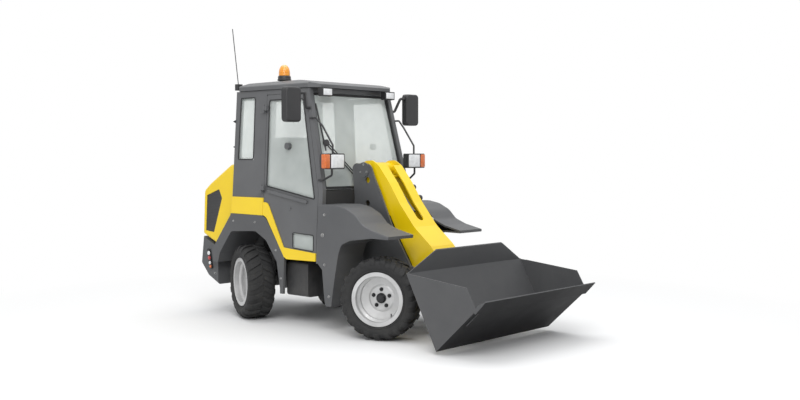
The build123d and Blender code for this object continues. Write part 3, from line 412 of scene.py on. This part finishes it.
# Cab frame, doors and quarter panels: steel in dark grey paint, moulded plastic below.
# Panels keep their CAD shape; the plastic has a fine leather grain.
grey_moulding = finish("grey_moulding", (0.080, 0.082, 0.086), (0.094, 0.096, 0.100),
                       rough=(0.5, 0.6), grain=520.0, bump=0.45, depth=0.0005, dust=0.1)
roof_moulding = finish("roof_moulding", (0.090, 0.092, 0.096), (0.110, 0.112, 0.116),
                       rough=(0.42, 0.55), grain=480.0, bump=0.35, depth=0.0005, dust=0.0)
black_moulding = finish("black_moulding", (0.018, 0.018, 0.019), (0.030, 0.030, 0.032),
                        rough=(0.45, 0.6), grain=600.0, bump=0.4, depth=0.0004, dust=0.2)
cabin_moulding = finish("cabin_moulding", (0.055, 0.056, 0.060), (0.072, 0.073, 0.077),
                        rough=(0.55, 0.65), grain=650.0, bump=0.5, depth=0.0004, dust=0.0)
floor_rubber = finish("floor_rubber", (0.020, 0.020, 0.020), (0.034, 0.033, 0.032),
                      rough=(0.7, 0.85), grain=90.0, bump=0.6, depth=0.001, dust=0.3)
# the roof's downward faces are near-black: painted shade under the roof and its visor
paint_shade_below(roof_moulding, (0.010, 0.010, 0.011))
coat_nodes(grey_paint, "cab_frame", "right_door", "left_door")
coat_nodes(grey_moulding, "quarter_panels", "front_fenders", "rear_bumper")
coat_nodes(roof_moulding, "cab_roof")
coat_nodes(black_moulding, "side_tanks", "mirrors", "door_catches", "seat_base", "steering_wheel")
coat_nodes(cabin_moulding, "dashboard", "joystick_console")
coat_nodes(floor_rubber, "cab_floor")
coat_nodes(black_paint, "lamp_brackets", "antenna", "wiper")

# Yellow panels: hood, quarter bands, door sills and boom, in gloss enamel with a clear coat.
yellow_gloss = finish("yellow_gloss_paint", (0.84, 0.58, 0.002), (0.90, 0.64, 0.004),
                      rough=(0.28, 0.38), patch=1.6, grain=240.0, bump=0.06, depth=0.0005,
                      dust=0.06, wear=0.2, coat=0.3, bare=(0.30, 0.27, 0.18))
coat_nodes(yellow_gloss, "engine_hood", "quarter_trims", "right_door_trim", "left_door_trim",
           "boom")

# Cylinders, couplings and bucket: chromed rods and dark barrels,
# plated couplings, and a dark grey bucket with a scuffed lip.
rod_chrome = finish("rod_chrome", (0.62, 0.62, 0.62), (0.72, 0.72, 0.72), rough=(0.08, 0.16),
                    patch=14.0, grain=300.0, bump=0.03, dust=0.0, metallic=1.0)
plated_steel = finish("plated_steel", (0.42, 0.41, 0.38), (0.56, 0.55, 0.52), rough=(0.25, 0.4),
                      patch=20.0, dust=0.1, metallic=0.9)
bucket_paint = finish("bucket_paint", (0.082, 0.083, 0.086), (0.092, 0.093, 0.096),
                      rough=(0.56, 0.68), patch=2.5, grain=200.0, bump=0.12, depth=0.0005,
                      dust=0.08, wear=0.3, specular=0.2)
# the bucket's downward faces are near-black: painted shade under its floor
paint_shade_below(bucket_paint, (0.010, 0.010, 0.011))
coat_nodes(rod_chrome, "lift_cylinder_rod", "tilt_cylinder_rod")
coat_nodes(grey_paint, "lift_cylinder_barrel", "tilt_cylinder_barrel", "quick_coupler")
coat_nodes(plated_steel, "hydraulic_couplers")
coat_nodes(bucket_paint, "bucket")

# Windows: toughened glass with a faint green tint, in rubber gaskets.
window_glass = bpy.data.materials.new("window_glass")
window_glass.use_nodes = True
glass_tree = window_glass.node_tree
glass_shader = glass_tree.nodes["Principled BSDF"]
glass_place = glass_tree.nodes.new("ShaderNodeTexCoord")
glass_tone = ranged(glass_tree, noise_in(glass_tree, glass_place.outputs["Object"], 2.2), 0.3, 0.7)
glass_tree.links.new(blended(glass_tree, glass_tone, (0.80, 0.86, 0.83), (0.86, 0.91, 0.88)),
                     glass_shader.inputs["Base Color"])
glass_tree.links.new(ranged(glass_tree, glass_tone, 0.0, 1.0, 0.30, 0.38),
                     glass_shader.inputs["Alpha"])
glass_shader.inputs["Roughness"].default_value = 0.03
glass_shader.inputs["IOR"].default_value = 1.5
coat_nodes(window_glass, "windshield", "rear_windows", "right_door_glass", "left_door_glass")

# Window gaskets: black rubber round each pane, clipped over the edge of the steel.
# Each is a flat ring cut from the pane's outline and drawn out to its thickness.
gasket_rubber = finish("gasket_rubber", (0.010, 0.010, 0.011), (0.018, 0.018, 0.019),
                       rough=(0.5, 0.65), patch=20.0, grain=700.0, bump=0.2, dust=0.0)
cab_lean = math.radians(3.0)
cab_foot = 0.606
pane_gap = 0.0002
side_thick, end_thick = 0.0025, 0.003


def cab_side(side, out):
    """Places (x, height up the side, outwards) on the leaning side of the cab."""
    lean = Matrix((
        (1.0, 0.0, 0.0, 0.0),
        (0.0, -math.sin(cab_lean), math.cos(cab_lean), cab_foot + out * math.cos(cab_lean)),
        (0.0, math.cos(cab_lean), math.sin(cab_lean), out * math.sin(cab_lean)),
        (0.0, 0.0, 0.0, 1.0),
    ))
    return Matrix.Diagonal((1.0, float(side), 1.0, 1.0)) @ lean


def band(bm, outline, width, thick, place, corner=0.024, grow=0.0):
    """A flat ring that follows an outline in its own plane, with rounded corners."""
    part = bmesh.new()
    verts = [part.verts.new((x, z, 0.0)) for x, z in outline]
    face = part.faces.new(verts)
    turning = sum(a[0] * b[1] - a[1] * b[0] for a, b in zip(outline, outline[1:] + outline[:1]))
    if turning < 0:
        face.normal_flip()
    bmesh.ops.bevel(part, geom=part.verts[:], offset=corner, segments=5, profile=0.5,
                    affect="VERTICES", material=-1, clamp_overlap=True)
    part.normal_update()
    pane = part.faces[:]
    keep = set()
    if grow:
        outer = bmesh.ops.inset_region(part, faces=pane, thickness=grow, depth=0.0,
                                       use_even_offset=True, use_boundary=True, use_outset=True)
        keep.update(outer["faces"])
    inner = bmesh.ops.inset_region(part, faces=pane, thickness=width - grow, depth=0.0,
                                   use_even_offset=True, use_boundary=True)
    keep.update(inner["faces"])
    bmesh.ops.delete(part, geom=[f for f in part.faces if f not in keep], context="FACES")
    grown = bmesh.ops.extrude_face_region(part, geom=part.faces[:])
    bmesh.ops.translate(part, vec=(0, 0, thick), verts=verts_of(grown))
    bmesh.ops.transform(part, matrix=place, verts=part.verts)
    bmesh.ops.recalc_face_normals(part, faces=part.faces)
    poured(part, bm)


# outlines of the side panes, as x and height up the leaning side
door_pane = [(-0.770, 1.192), (-0.770, 1.955), (-0.327, 1.955), (-0.143, 1.091)]
foot_pane = [(-0.410, 0.809), (-0.402, 0.672), (-0.140, 0.655), (-0.146, 0.798)]
quarter_pane = [(-1.175, 1.425), (-1.160, 1.985), (-0.955, 1.985), (-0.955, 1.425)]
for side, hand in ((-1, "right"), (1, "left")):
    bm = bmesh.new()
    beside = cab_side(side, pane_gap)
    band(bm, door_pane, 0.015, side_thick, beside, grow=0.004)
    band(bm, foot_pane, 0.010, side_thick, beside, corner=0.016, grow=0.003)
    new_piece(f"{hand}_door_gaskets", bm, gasket_rubber, f"door_{hand}")
bm = bmesh.new()
for side in (-1, 1):
    band(bm, quarter_pane, 0.014, side_thick, cab_side(side, pane_gap), grow=0.004)
pane_foot, pane_top = Vector((-0.080, 0.0, 1.176)), Vector((-0.282, 0.0, 2.000))
pane_rise = pane_top - pane_foot
pane_out = Vector((0.0, 1.0, 0.0)).cross(pane_rise).normalized()
pane_place = Matrix.Translation(pane_foot + pane_out * 0.0052) @ Matrix(
    (Vector((0.0, 1.0, 0.0)), pane_rise.normalized(), pane_out)).transposed().to_4x4()
band(bm, [(-0.502, 0.002), (-0.460, 0.846), (0.460, 0.846), (0.502, 0.002)], 0.022, end_thick,
     pane_place, corner=0.03)
rear_place = Matrix.Translation((-1.2056, 0.0, 0.0)) @ Matrix(
    (Vector((0.0, -1.0, 0.0)), Vector((0.0, 0.0, 1.0)),
     Vector((-1.0, 0.0, 0.0)))).transposed().to_4x4()
band(bm, [(-0.490, 1.386), (-0.458, 1.984), (0.458, 1.984), (0.490, 1.386)], 0.020, end_thick,
     rear_place, corner=0.03)
new_piece("cab_gaskets", bm, gasket_rubber, "chassis")

# Driver's seat: foam cushions in woven cloth, with a sewn seam round each and two channels across.
# Each cushion is a subdivided block that is drawn in at its sides and crowned, over the base's pan.
seat_cloth = finish("seat_cloth", (0.022, 0.023, 0.026), (0.040, 0.041, 0.046), rough=(0.8, 0.95),
                    patch=12.0, grain=1100.0, bump=0.8, depth=0.0008, dust=0.0, specular=0.25)
seat_cloth.node_tree.nodes["Principled BSDF"].inputs["Sheen Weight"].default_value = 0.35


def cushion(bm, size, place, crown, channels):
    """A crowned pad of some length, width and thickness, with channels across its length."""
    pad = bmesh.new()
    bmesh.ops.create_cube(pad, size=1.0)
    bmesh.ops.subdivide_edges(pad, edges=pad.edges[:], cuts=15, use_grid_fill=True)
    for vert in pad.verts:
        u, v, w = vert.co * 2.0
        swell = (1.0 - u ** 4) * (1.0 - v ** 4)
        pull = 1.0 - 0.05 * (1.0 - abs(w)) * max(abs(u), abs(v)) ** 6
        round_off = 1.0 - 0.06 * (u * v) ** 8
        groove = 0.0
        if w > 0.5:
            groove = sum(math.exp(-((u - at) / 0.05) ** 2) for at in channels) * (1.0 - v ** 8)
        vert.co.x = size[0] / 2 * u * pull * round_off
        vert.co.y = size[1] / 2 * v * pull * round_off
        thick = size[2] / 2 * w * (0.74 + 0.26 * swell)
        vert.co.z = thick + crown * swell * max(w, 0.0) - 0.007 * groove
    bmesh.ops.smooth_vert(pad, verts=pad.verts, factor=0.5, use_axis_x=True, use_axis_y=True,
                          use_axis_z=True)
    bmesh.ops.transform(pad, matrix=place, verts=pad.verts)
    poured(pad, bm)


bm = bmesh.new()
seat_place = Matrix.Translation((-0.775, 0.0, 0.979))
back_lean = math.atan2(0.075, 0.610)
back_place = (Matrix.Translation((-0.992, 0.0, 1.337))
              @ Matrix.Rotation(back_lean, 4, "Y").inverted()
              @ Matrix.Rotation(-math.pi / 2, 4, "Y").inverted()
              @ Matrix.Rotation(math.pi, 4, "Z"))
cushion(bm, (0.470, 0.478, 0.096), seat_place, 0.004, (-0.35, 0.2))
cushion(bm, (0.590, 0.458, 0.080), back_place, 0.006, (-0.3, 0.25))
seat_pads = new_piece("seat_pads", bm, seat_cloth, "chassis")
seat_soft = seat_pads.modifiers.new("soft", "SUBSURF")
seat_soft.levels = seat_soft.render_levels = 1
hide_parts("seat_cushions")

# Headlamps: black shells with a ribbed clear lens and an amber indicator at the outer end.
# Work lamps sit under the roof, and the rear lamps are round lenses in the bumper's flanks.
lamp_shell = finish("lamp_shell", (0.014, 0.014, 0.015), (0.024, 0.024, 0.025), rough=(0.3, 0.42),
                    dust=0.0)
coat_nodes(lamp_shell, "lamps")


def lens_plastic(name, low, high, ribs, axis):
    """Moulded lens plastic with fine ribs across one axis."""
    material = finish(name, low, high, rough=(0.12, 0.2), patch=30.0, dust=0.0, coat=0.8)
    tree = material.node_tree
    wave = tree.nodes.new("ShaderNodeTexWave")
    wave.bands_direction = axis
    wave.inputs["Scale"].default_value = ribs
    tree.links.new(tree.nodes["Texture Coordinate"].outputs["Object"], wave.inputs["Vector"])
    relief = tree.nodes["Bump"]
    relief.inputs["Strength"].default_value = 0.6
    relief.inputs["Distance"].default_value = 0.0012
    tree.links.new(wave.outputs["Fac"], relief.inputs["Height"])
    return material


clear_lens = lens_plastic("clear_lens", (0.66, 0.67, 0.68), (0.80, 0.81, 0.82), 45.0, "Y")
amber_lens = lens_plastic("amber_lens", (0.55, 0.10, 0.006), (0.68, 0.15, 0.010), 60.0, "Z")
beacon_lens = lens_plastic("beacon_lens", (0.90, 0.30, 0.006), (0.96, 0.38, 0.012), 60.0, "Z")
red_lens = lens_plastic("red_lens", (0.34, 0.008, 0.008), (0.46, 0.015, 0.012), 60.0, "Z")


def brick(bm, low, high, soft, segments=3):
    """A box between two corners with every edge rounded."""
    part = bmesh.new()
    bmesh.ops.create_cube(part, size=1.0)
    bmesh.ops.scale(part, vec=[b - a for a, b in zip(low, high)], verts=part.verts)
    bmesh.ops.translate(part, vec=[(a + b) / 2 for a, b in zip(low, high)], verts=part.verts)
    bmesh.ops.bevel(part, geom=part.edges[:], offset=soft, segments=segments, profile=0.5,
                    affect="EDGES", material=-1, clamp_overlap=True)
    poured(part, bm)


def both_sides(bm):
    """Copy everything across the machine's middle plane."""
    doubled = bmesh.ops.duplicate(bm, geom=bm.verts[:] + bm.edges[:] + bm.faces[:])
    bmesh.ops.scale(bm, vec=(1, -1, 1), verts=verts_of(doubled))
    copied_faces = [f for f in doubled["geom"] if isinstance(f, bmesh.types.BMFace)]
    bmesh.ops.reverse_faces(bm, faces=copied_faces)


# each front and roof lens is one rounded box between two corners
for label, lens_material, low, high, soft, slot in (
        ("headlamp_lenses", clear_lens, (0.040, 0.409, 1.359), (0.066, 0.558, 1.471), 0.008,
         "lamp_plastic"),
        ("front_indicators", amber_lens, (0.014, 0.569, 1.356), (0.065, 0.631, 1.474), 0.010,
         "beacon_amber"),
        ("work_lamp_lenses", clear_lens, (-0.158, 0.340, 1.974), (-0.146, 0.440, 2.028), 0.005,
         "lamp_plastic")):
    bm = bmesh.new()
    brick(bm, low, high, soft)
    both_sides(bm)
    new_piece(label, bm, lens_material, "chassis")
# share of the lens's radius, and distance from the machine's middle plane
lens_dome = ((1.0, 0.514), (1.0, 0.5175), (0.86, 0.5205), (0.5, 0.5225), (0.0, 0.523))
for label, lens_material, spots in (
        ("rear_lamp_clear", clear_lens, ((-1.637, 0.545, 0.019), (-1.620, 0.455, 0.016))),
        ("rear_lamp_red", red_lens, ((-1.629, 0.500, 0.019),)),
        ("rear_lamp_amber", amber_lens, ((-1.613, 0.420, 0.014),))):
    bm = bmesh.new()
    for x, z, radius in spots:
        spun(bm, [(x + radius * share, y, z) for share, y in lens_dome], (x, 0, z), (0, 1, 0), 24)
    bmesh.ops.remove_doubles(bm, verts=bm.verts, dist=merge_gap)
    both_sides(bm)
    new_piece(label, bm, lens_material, "chassis")

# Beacon: an amber dome with stepped rings over a black base, on the roof's right.
# Both parts are spun about the same upright axis.
beacon_x, beacon_y = -0.800, -0.300
for label, material, outline in (
        ("beacon_base", black_moulding,
         [(0.0, 2.1304), (0.062, 2.1304), (0.062, 2.142), (0.058, 2.147), (0.058, 2.164),
          (0.054, 2.172), (0.050, 2.174),
          (0.0, 2.174)]),
        ("beacon_dome", beacon_lens,
         [(0.0, 2.1742), (0.0500, 2.1742), (0.0510, 2.180), (0.0520, 2.184), (0.0500, 2.189),
          (0.0515, 2.194),
          (0.0495, 2.199), (0.0510, 2.204), (0.0490, 2.209), (0.0500, 2.215), (0.0470, 2.228),
          (0.0420, 2.243),
          (0.0330, 2.258), (0.0200, 2.269), (0.0, 2.2735)])):
    bm = bmesh.new()
    spun(bm, [(beacon_x + r, beacon_y, z) for r, z in outline], (beacon_x, beacon_y, 0), (0, 0, 1),
         40)
    bmesh.ops.remove_doubles(bm, verts=bm.verts, dist=merge_gap)
    piece = new_piece(label, bm, material, "chassis")
    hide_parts("beacon")

# Mirror glass in the rear of each housing, silvered, in a thin raised rim.
mirror_silver = finish("mirror_silver", (0.72, 0.73, 0.74), (0.78, 0.79, 0.80), rough=(0.02, 0.05),
                       patch=5.0, bump=0.0, dust=0.0, metallic=1.0)
bm = bmesh.new()
brick(bm, (-0.2465, 0.674, 1.758), (-0.2425, 0.812, 2.012), 0.0018, 1)
both_sides(bm)
new_piece("mirror_glass", bm, mirror_silver, "chassis")

# Fasteners: plated hexagon bolts with washers that hold the fenders, panels, tower pins and lamps.
# One bolt is made of a washer, a head and a domed top, and is set down along its own direction.
bolt_steel = finish("bolt_steel", (0.30, 0.30, 0.30), (0.46, 0.46, 0.45), rough=(0.3, 0.45),
                    patch=40.0, dust=0.0, metallic=0.85)
# washer, head and domed top: radius, foot and top in radii of the head, and number of sides
bolt_parts = ((1.35, 0.0, 0.16, 20), (1.0, 0.14, 0.75, 6), (0.78, 0.74, 0.86, 12))


def bolt(bm, at, towards, radius):
    """A hexagon bolt head on its washer, standing on a surface at a point."""
    turn = Vector(towards).to_track_quat("Z", "Y").to_matrix().to_4x4()
    for size, low, high, sides in bolt_parts:
        spot = Matrix.Translation(at) @ turn @ Matrix.Translation((0, 0, radius * (low + high) / 2))
        bmesh.ops.create_cone(bm, cap_ends=True, segments=sides, radius1=radius * size,
                              radius2=radius * size * 0.93, depth=radius * (high - low),
                              matrix=spot)


bm = bmesh.new()
boom_pin_x, boom_pin_z = 0.071, 1.344
# bolts on the left, as x, height and head radius, by the face they stand on:
# fender, quarter panel, bumper, tower pin and tower foot
pin_bolts = [(boom_pin_x + 0.042 * math.cos(angle), boom_pin_z + 0.042 * math.sin(angle), 0.008)
             for angle in [math.radians(90 + 120 * turn) for turn in range(3)]]
for face_y, bolts in (
        (0.6002, ((-0.003, 0.805, 0.013), (0.020, 0.560, 0.009), (0.070, 0.300, 0.009),
                  (0.020, 0.975, 0.009))),
        (0.5702, ((-1.200, 0.870, 0.008), (-0.900, 0.870, 0.008), (-0.620, 0.640, 0.008),
                  (-0.555, 0.400, 0.008))),
        (0.5002, ((-1.560, 0.560, 0.010), (-1.560, 0.360, 0.010))),
        (0.1882, pin_bolts),
        (0.1802, ((0.420, 0.520, 0.010), (0.300, 0.520, 0.010), (0.060, 0.520, 0.010),
                  (0.060, 0.700, 0.010)))):
    for x, z, radius in bolts:
        bolt(bm, (x, face_y, z), (0, 1, 0), radius)
both_sides(bm)
new_piece("frame_bolts", bm, bolt_steel, "chassis", smooth=False)

# Couplings on the boom's left cheek: two plated quick couplings, two black caps, and a copper
# fitting that a hose joins to the first coupling. Each is turned about the axis along which it
# points out of the cheek, and the hose is a bent tube.
copper_plate = finish("copper_plate", (0.42, 0.16, 0.07), (0.56, 0.23, 0.10), rough=(0.25, 0.4),
                      patch=30.0, dust=0.0, metallic=0.9)
hose_rubber = finish("hose_rubber", (0.016, 0.016, 0.017), (0.028, 0.028, 0.029), rough=(0.5, 0.65),
                     patch=30.0, grain=900.0, bump=0.4, depth=0.0004, dust=0.05)
boom_pin = Vector((boom_pin_x, 0.0, boom_pin_z))
bucket_pin = Vector((1.060, 0.0, 0.150))
boom_cheek = 0.145
boom_along = (bucket_pin - boom_pin).normalized()
boom_above = boom_along.cross(Vector((0.0, 1.0, 0.0))).normalized()
if boom_above.z < 0:
    boom_above.negate()


def on_cheek(along, above, out):
    """A point beside the boom, from its line and its left cheek."""
    return boom_pin + boom_along * along + boom_above * above + Vector((0.0, boom_cheek + out, 0.0))


def turned(bm, outline, place, steps=24):
    """Spin (radius, height) pairs about the local Z axis."""
    part = bmesh.new()
    spun(part, [(r, 0.0, z) for r, z in outline], (0, 0, 0), (0, 0, 1), steps)
    bmesh.ops.remove_doubles(part, verts=part.verts, dist=merge_gap)
    bmesh.ops.recalc_face_normals(part, faces=part.faces)
    bmesh.ops.transform(part, matrix=place, verts=part.verts)
    poured(part, bm)


def tube(bm, points, radius, sides=12):
    """A round hose through a row of points, closed at both ends."""
    rings = []
    for i, at in enumerate(points):
        ahead = points[min(i + 1, len(points) - 1)] - points[max(i - 1, 0)]
        turn = ahead.to_track_quat("Z", "Y").to_matrix()
        round_it = [math.tau * k / sides for k in range(sides)]
        rings.append([bm.verts.new(at + turn @ Vector((radius * math.cos(a), radius * math.sin(a),
                                                       0.0))) for a in round_it])
    for first, second in zip(rings, rings[1:]):
        for k in range(sides):
            bm.faces.new((first[k], first[(k + 1) % sides], second[(k + 1) % sides], second[k]))
    bm.faces.new(rings[0][::-1])
    bm.faces.new(rings[-1])


left_out = Vector((0.0, 1.0, 0.0)).to_track_quat("Z", "Y").to_matrix().to_4x4()
coupling_outline = [(0.0, 0.0), (0.024, 0.0), (0.024, 0.010), (0.018, 0.013), (0.018, 0.030),
                    (0.022, 0.033), (0.022, 0.058), (0.019, 0.062), (0.013, 0.064), (0.0, 0.064)]
cap_outline = [(0.0, 0.0), (0.013, 0.0), (0.013, 0.018), (0.023, 0.022), (0.026, 0.034),
               (0.024, 0.050), (0.015, 0.058), (0.0, 0.060)]
for label, material, outline, spots, slot in (
        ("boom_quick_couplings", plated_steel, coupling_outline, ((0.606, 0.062), (0.700, 0.050)),
         "brushed_steel"),
        ("boom_coupling_caps", black_moulding, cap_outline, ((0.271, 0.085), (0.386, 0.085)),
         "black_paint"),
        ("boom_copper_elbow", copper_plate, coupling_outline, ((0.795, 0.040),), "brushed_steel")):
    bm = bmesh.new()
    for along, above in spots:
        turned(bm, outline, Matrix.Translation(on_cheek(along, above, 0.0003)) @ left_out)
    new_piece(label, bm, material, "boom_arm")
bm = bmesh.new()
hose_steps = 14
hose_path = []
for step in range(hose_steps + 1):
    along = step / hose_steps
    sag = math.sin(math.pi * along)
    hose_path.append(on_cheek(0.606 + 0.189 * along, 0.062 - 0.022 * along - 0.060 * sag,
                              0.045 + 0.012 * sag))
tube(bm, hose_path, 0.008)
new_piece("boom_hose", bm, hose_rubber, "boom_arm")

# Side grilles of the hood: pressed mesh, black, with rows of round holes shown in the finish.
grille_mesh = finish("grille_mesh", (0.030, 0.030, 0.032), (0.042, 0.042, 0.044), rough=(0.5, 0.6),
                     dust=0.2)
grille_tree = grille_mesh.node_tree
grille_holes = grille_tree.nodes.new("ShaderNodeTexVoronoi")
grille_holes.inputs["Scale"].default_value = 70.0
grille_holes.inputs["Randomness"].default_value = 0.0
grille_tree.links.new(grille_tree.nodes["Texture Coordinate"].outputs["Object"],
                      grille_holes.inputs["Vector"])
grille_mask = ranged(grille_tree, grille_holes.outputs["Distance"], 0.30, 0.36)
grille_shader = grille_tree.nodes["Principled BSDF"]
grille_colour = grille_shader.inputs["Base Color"].links[0].from_socket
# the holes are near-black: painted shade of the dark bay behind the mesh
grille_tree.links.new(blended(grille_tree, grille_mask, (0.003, 0.003, 0.003), grille_colour),
                      grille_shader.inputs["Base Color"])
grille_relief = grille_tree.nodes["Bump"]
grille_relief.inputs["Strength"].default_value = 0.8
grille_relief.inputs["Distance"].default_value = 0.002
grille_tree.links.new(grille_mask, grille_relief.inputs["Height"])
coat_nodes(grille_mesh, "hood_grilles")

# Studio: a pale floor without end, a white surround and soft light from above and the front.
bm = bmesh.new()
bmesh.ops.create_grid(bm, x_segments=1, y_segments=1, size=60.0)
floor_mesh = bpy.data.meshes.new("studio_floor")
bm.to_mesh(floor_mesh)
bm.free()
studio_floor = bpy.data.objects.new("studio_floor", floor_mesh)
studio_floor.location = (0, 0, -0.0005)
bpy.context.scene.collection.objects.link(studio_floor)
floor_paint = bpy.data.materials.new("studio_floor_paint")
floor_paint.use_nodes = True
floor_tree = floor_paint.node_tree
floor_shader = floor_tree.nodes["Principled BSDF"]
floor_shader.inputs["Base Color"].default_value = (0.86, 0.86, 0.86, 1)
floor_shader.inputs["Roughness"].default_value = 0.9
floor_shader.inputs["Specular IOR Level"].default_value = 0.1
floor_place = floor_tree.nodes.new("ShaderNodeTexCoord")
floor_reach = floor_tree.nodes.new("ShaderNodeVectorMath")
floor_reach.operation = "LENGTH"
floor_tree.links.new(floor_place.outputs["Object"], floor_reach.inputs[0])
floor_far = ranged(floor_tree, floor_reach.outputs["Value"], 2.2, 4.5)
floor_path = floor_tree.nodes.new("ShaderNodeLightPath")
floor_white = floor_tree.nodes.new("ShaderNodeEmission")
floor_white.inputs["Color"].default_value = (1, 1, 1, 1)
floor_white.inputs["Strength"].default_value = 1.0
floor_seen = combined(floor_tree, "ADD", floor_path.outputs["Is Camera Ray"],
                      floor_path.outputs["Is Transmission Ray"], clamp=True)
floor_share = combined(floor_tree, "MULTIPLY", floor_far, floor_seen)
floor_mix = floor_tree.nodes.new("ShaderNodeMixShader")
floor_tree.links.new(floor_share, floor_mix.inputs[0])
floor_tree.links.new(floor_shader.outputs[0], floor_mix.inputs[1])
floor_tree.links.new(floor_white.outputs[0], floor_mix.inputs[2])
floor_tree.links.new(floor_mix.outputs[0], floor_tree.nodes["Material Output"].inputs["Surface"])
floor_mesh.materials.append(floor_paint)

surround = bpy.data.worlds.new("studio_surround")
surround.use_nodes = True
bpy.context.scene.world = surround
sky_tree = surround.node_tree
sky_seen = sky_tree.nodes["Background"]
sky_seen.inputs["Color"].default_value = (1, 1, 1, 1)
sky_seen.inputs["Strength"].default_value = 1.0
sky_light = sky_tree.nodes.new("ShaderNodeBackground")
sky_light.inputs["Color"].default_value = (0.97, 0.985, 1.0, 1)
sky_light.inputs["Strength"].default_value = 0.62
sky_path = sky_tree.nodes.new("ShaderNodeLightPath")
sky_any = combined(sky_tree, "ADD", sky_path.outputs["Is Camera Ray"],
                   sky_path.outputs["Is Glossy Ray"])
sky_all = combined(sky_tree, "ADD", sky_any, sky_path.outputs["Is Transmission Ray"], clamp=True)
sky_mix = sky_tree.nodes.new("ShaderNodeMixShader")
sky_tree.links.new(sky_all, sky_mix.inputs[0])
sky_tree.links.new(sky_light.outputs[0], sky_mix.inputs[1])
sky_tree.links.new(sky_seen.outputs[0], sky_mix.inputs[2])
sky_tree.links.new(sky_mix.outputs[0], sky_tree.nodes["World Output"].inputs["Surface"])

for lamp_name, place, size, power in (
        ("key_softbox", (5.5, -6.5, 7.5), 6.0, 620.0),
        ("top_softbox", (-1.0, 1.0, 8.0), 7.0, 330.0)):
    soft = bpy.data.lights.new(lamp_name, "AREA")
    soft.shape = "SQUARE"
    soft.size = size
    soft.energy = power
    softbox = bpy.data.objects.new(lamp_name, soft)
    softbox.location = place
    aim = Vector((0, 0, 0.8)) - Vector(place)
    softbox.rotation_euler = aim.to_track_quat("-Z", "Y").to_euler()
    bpy.context.scene.collection.objects.link(softbox)

# Camera at the photograph's place: in front and to the machine's right, 1.47 m above ground.
lens = bpy.data.cameras.new("photo_camera")
lens.sensor_width = 36.0
lens.lens = 45.3
lens.clip_end = 200.0
photo_camera = bpy.data.objects.new("photo_camera", lens)
photo_camera.location = (6.012, -6.346, 1.471)
photo_camera.rotation_euler = (math.radians(90 - 2.585), 0, math.radians(41.889))
bpy.context.scene.collection.objects.link(photo_camera)
bpy.context.scene.camera = photo_camera
bpy.context.scene.view_settings.view_transform = "Standard"
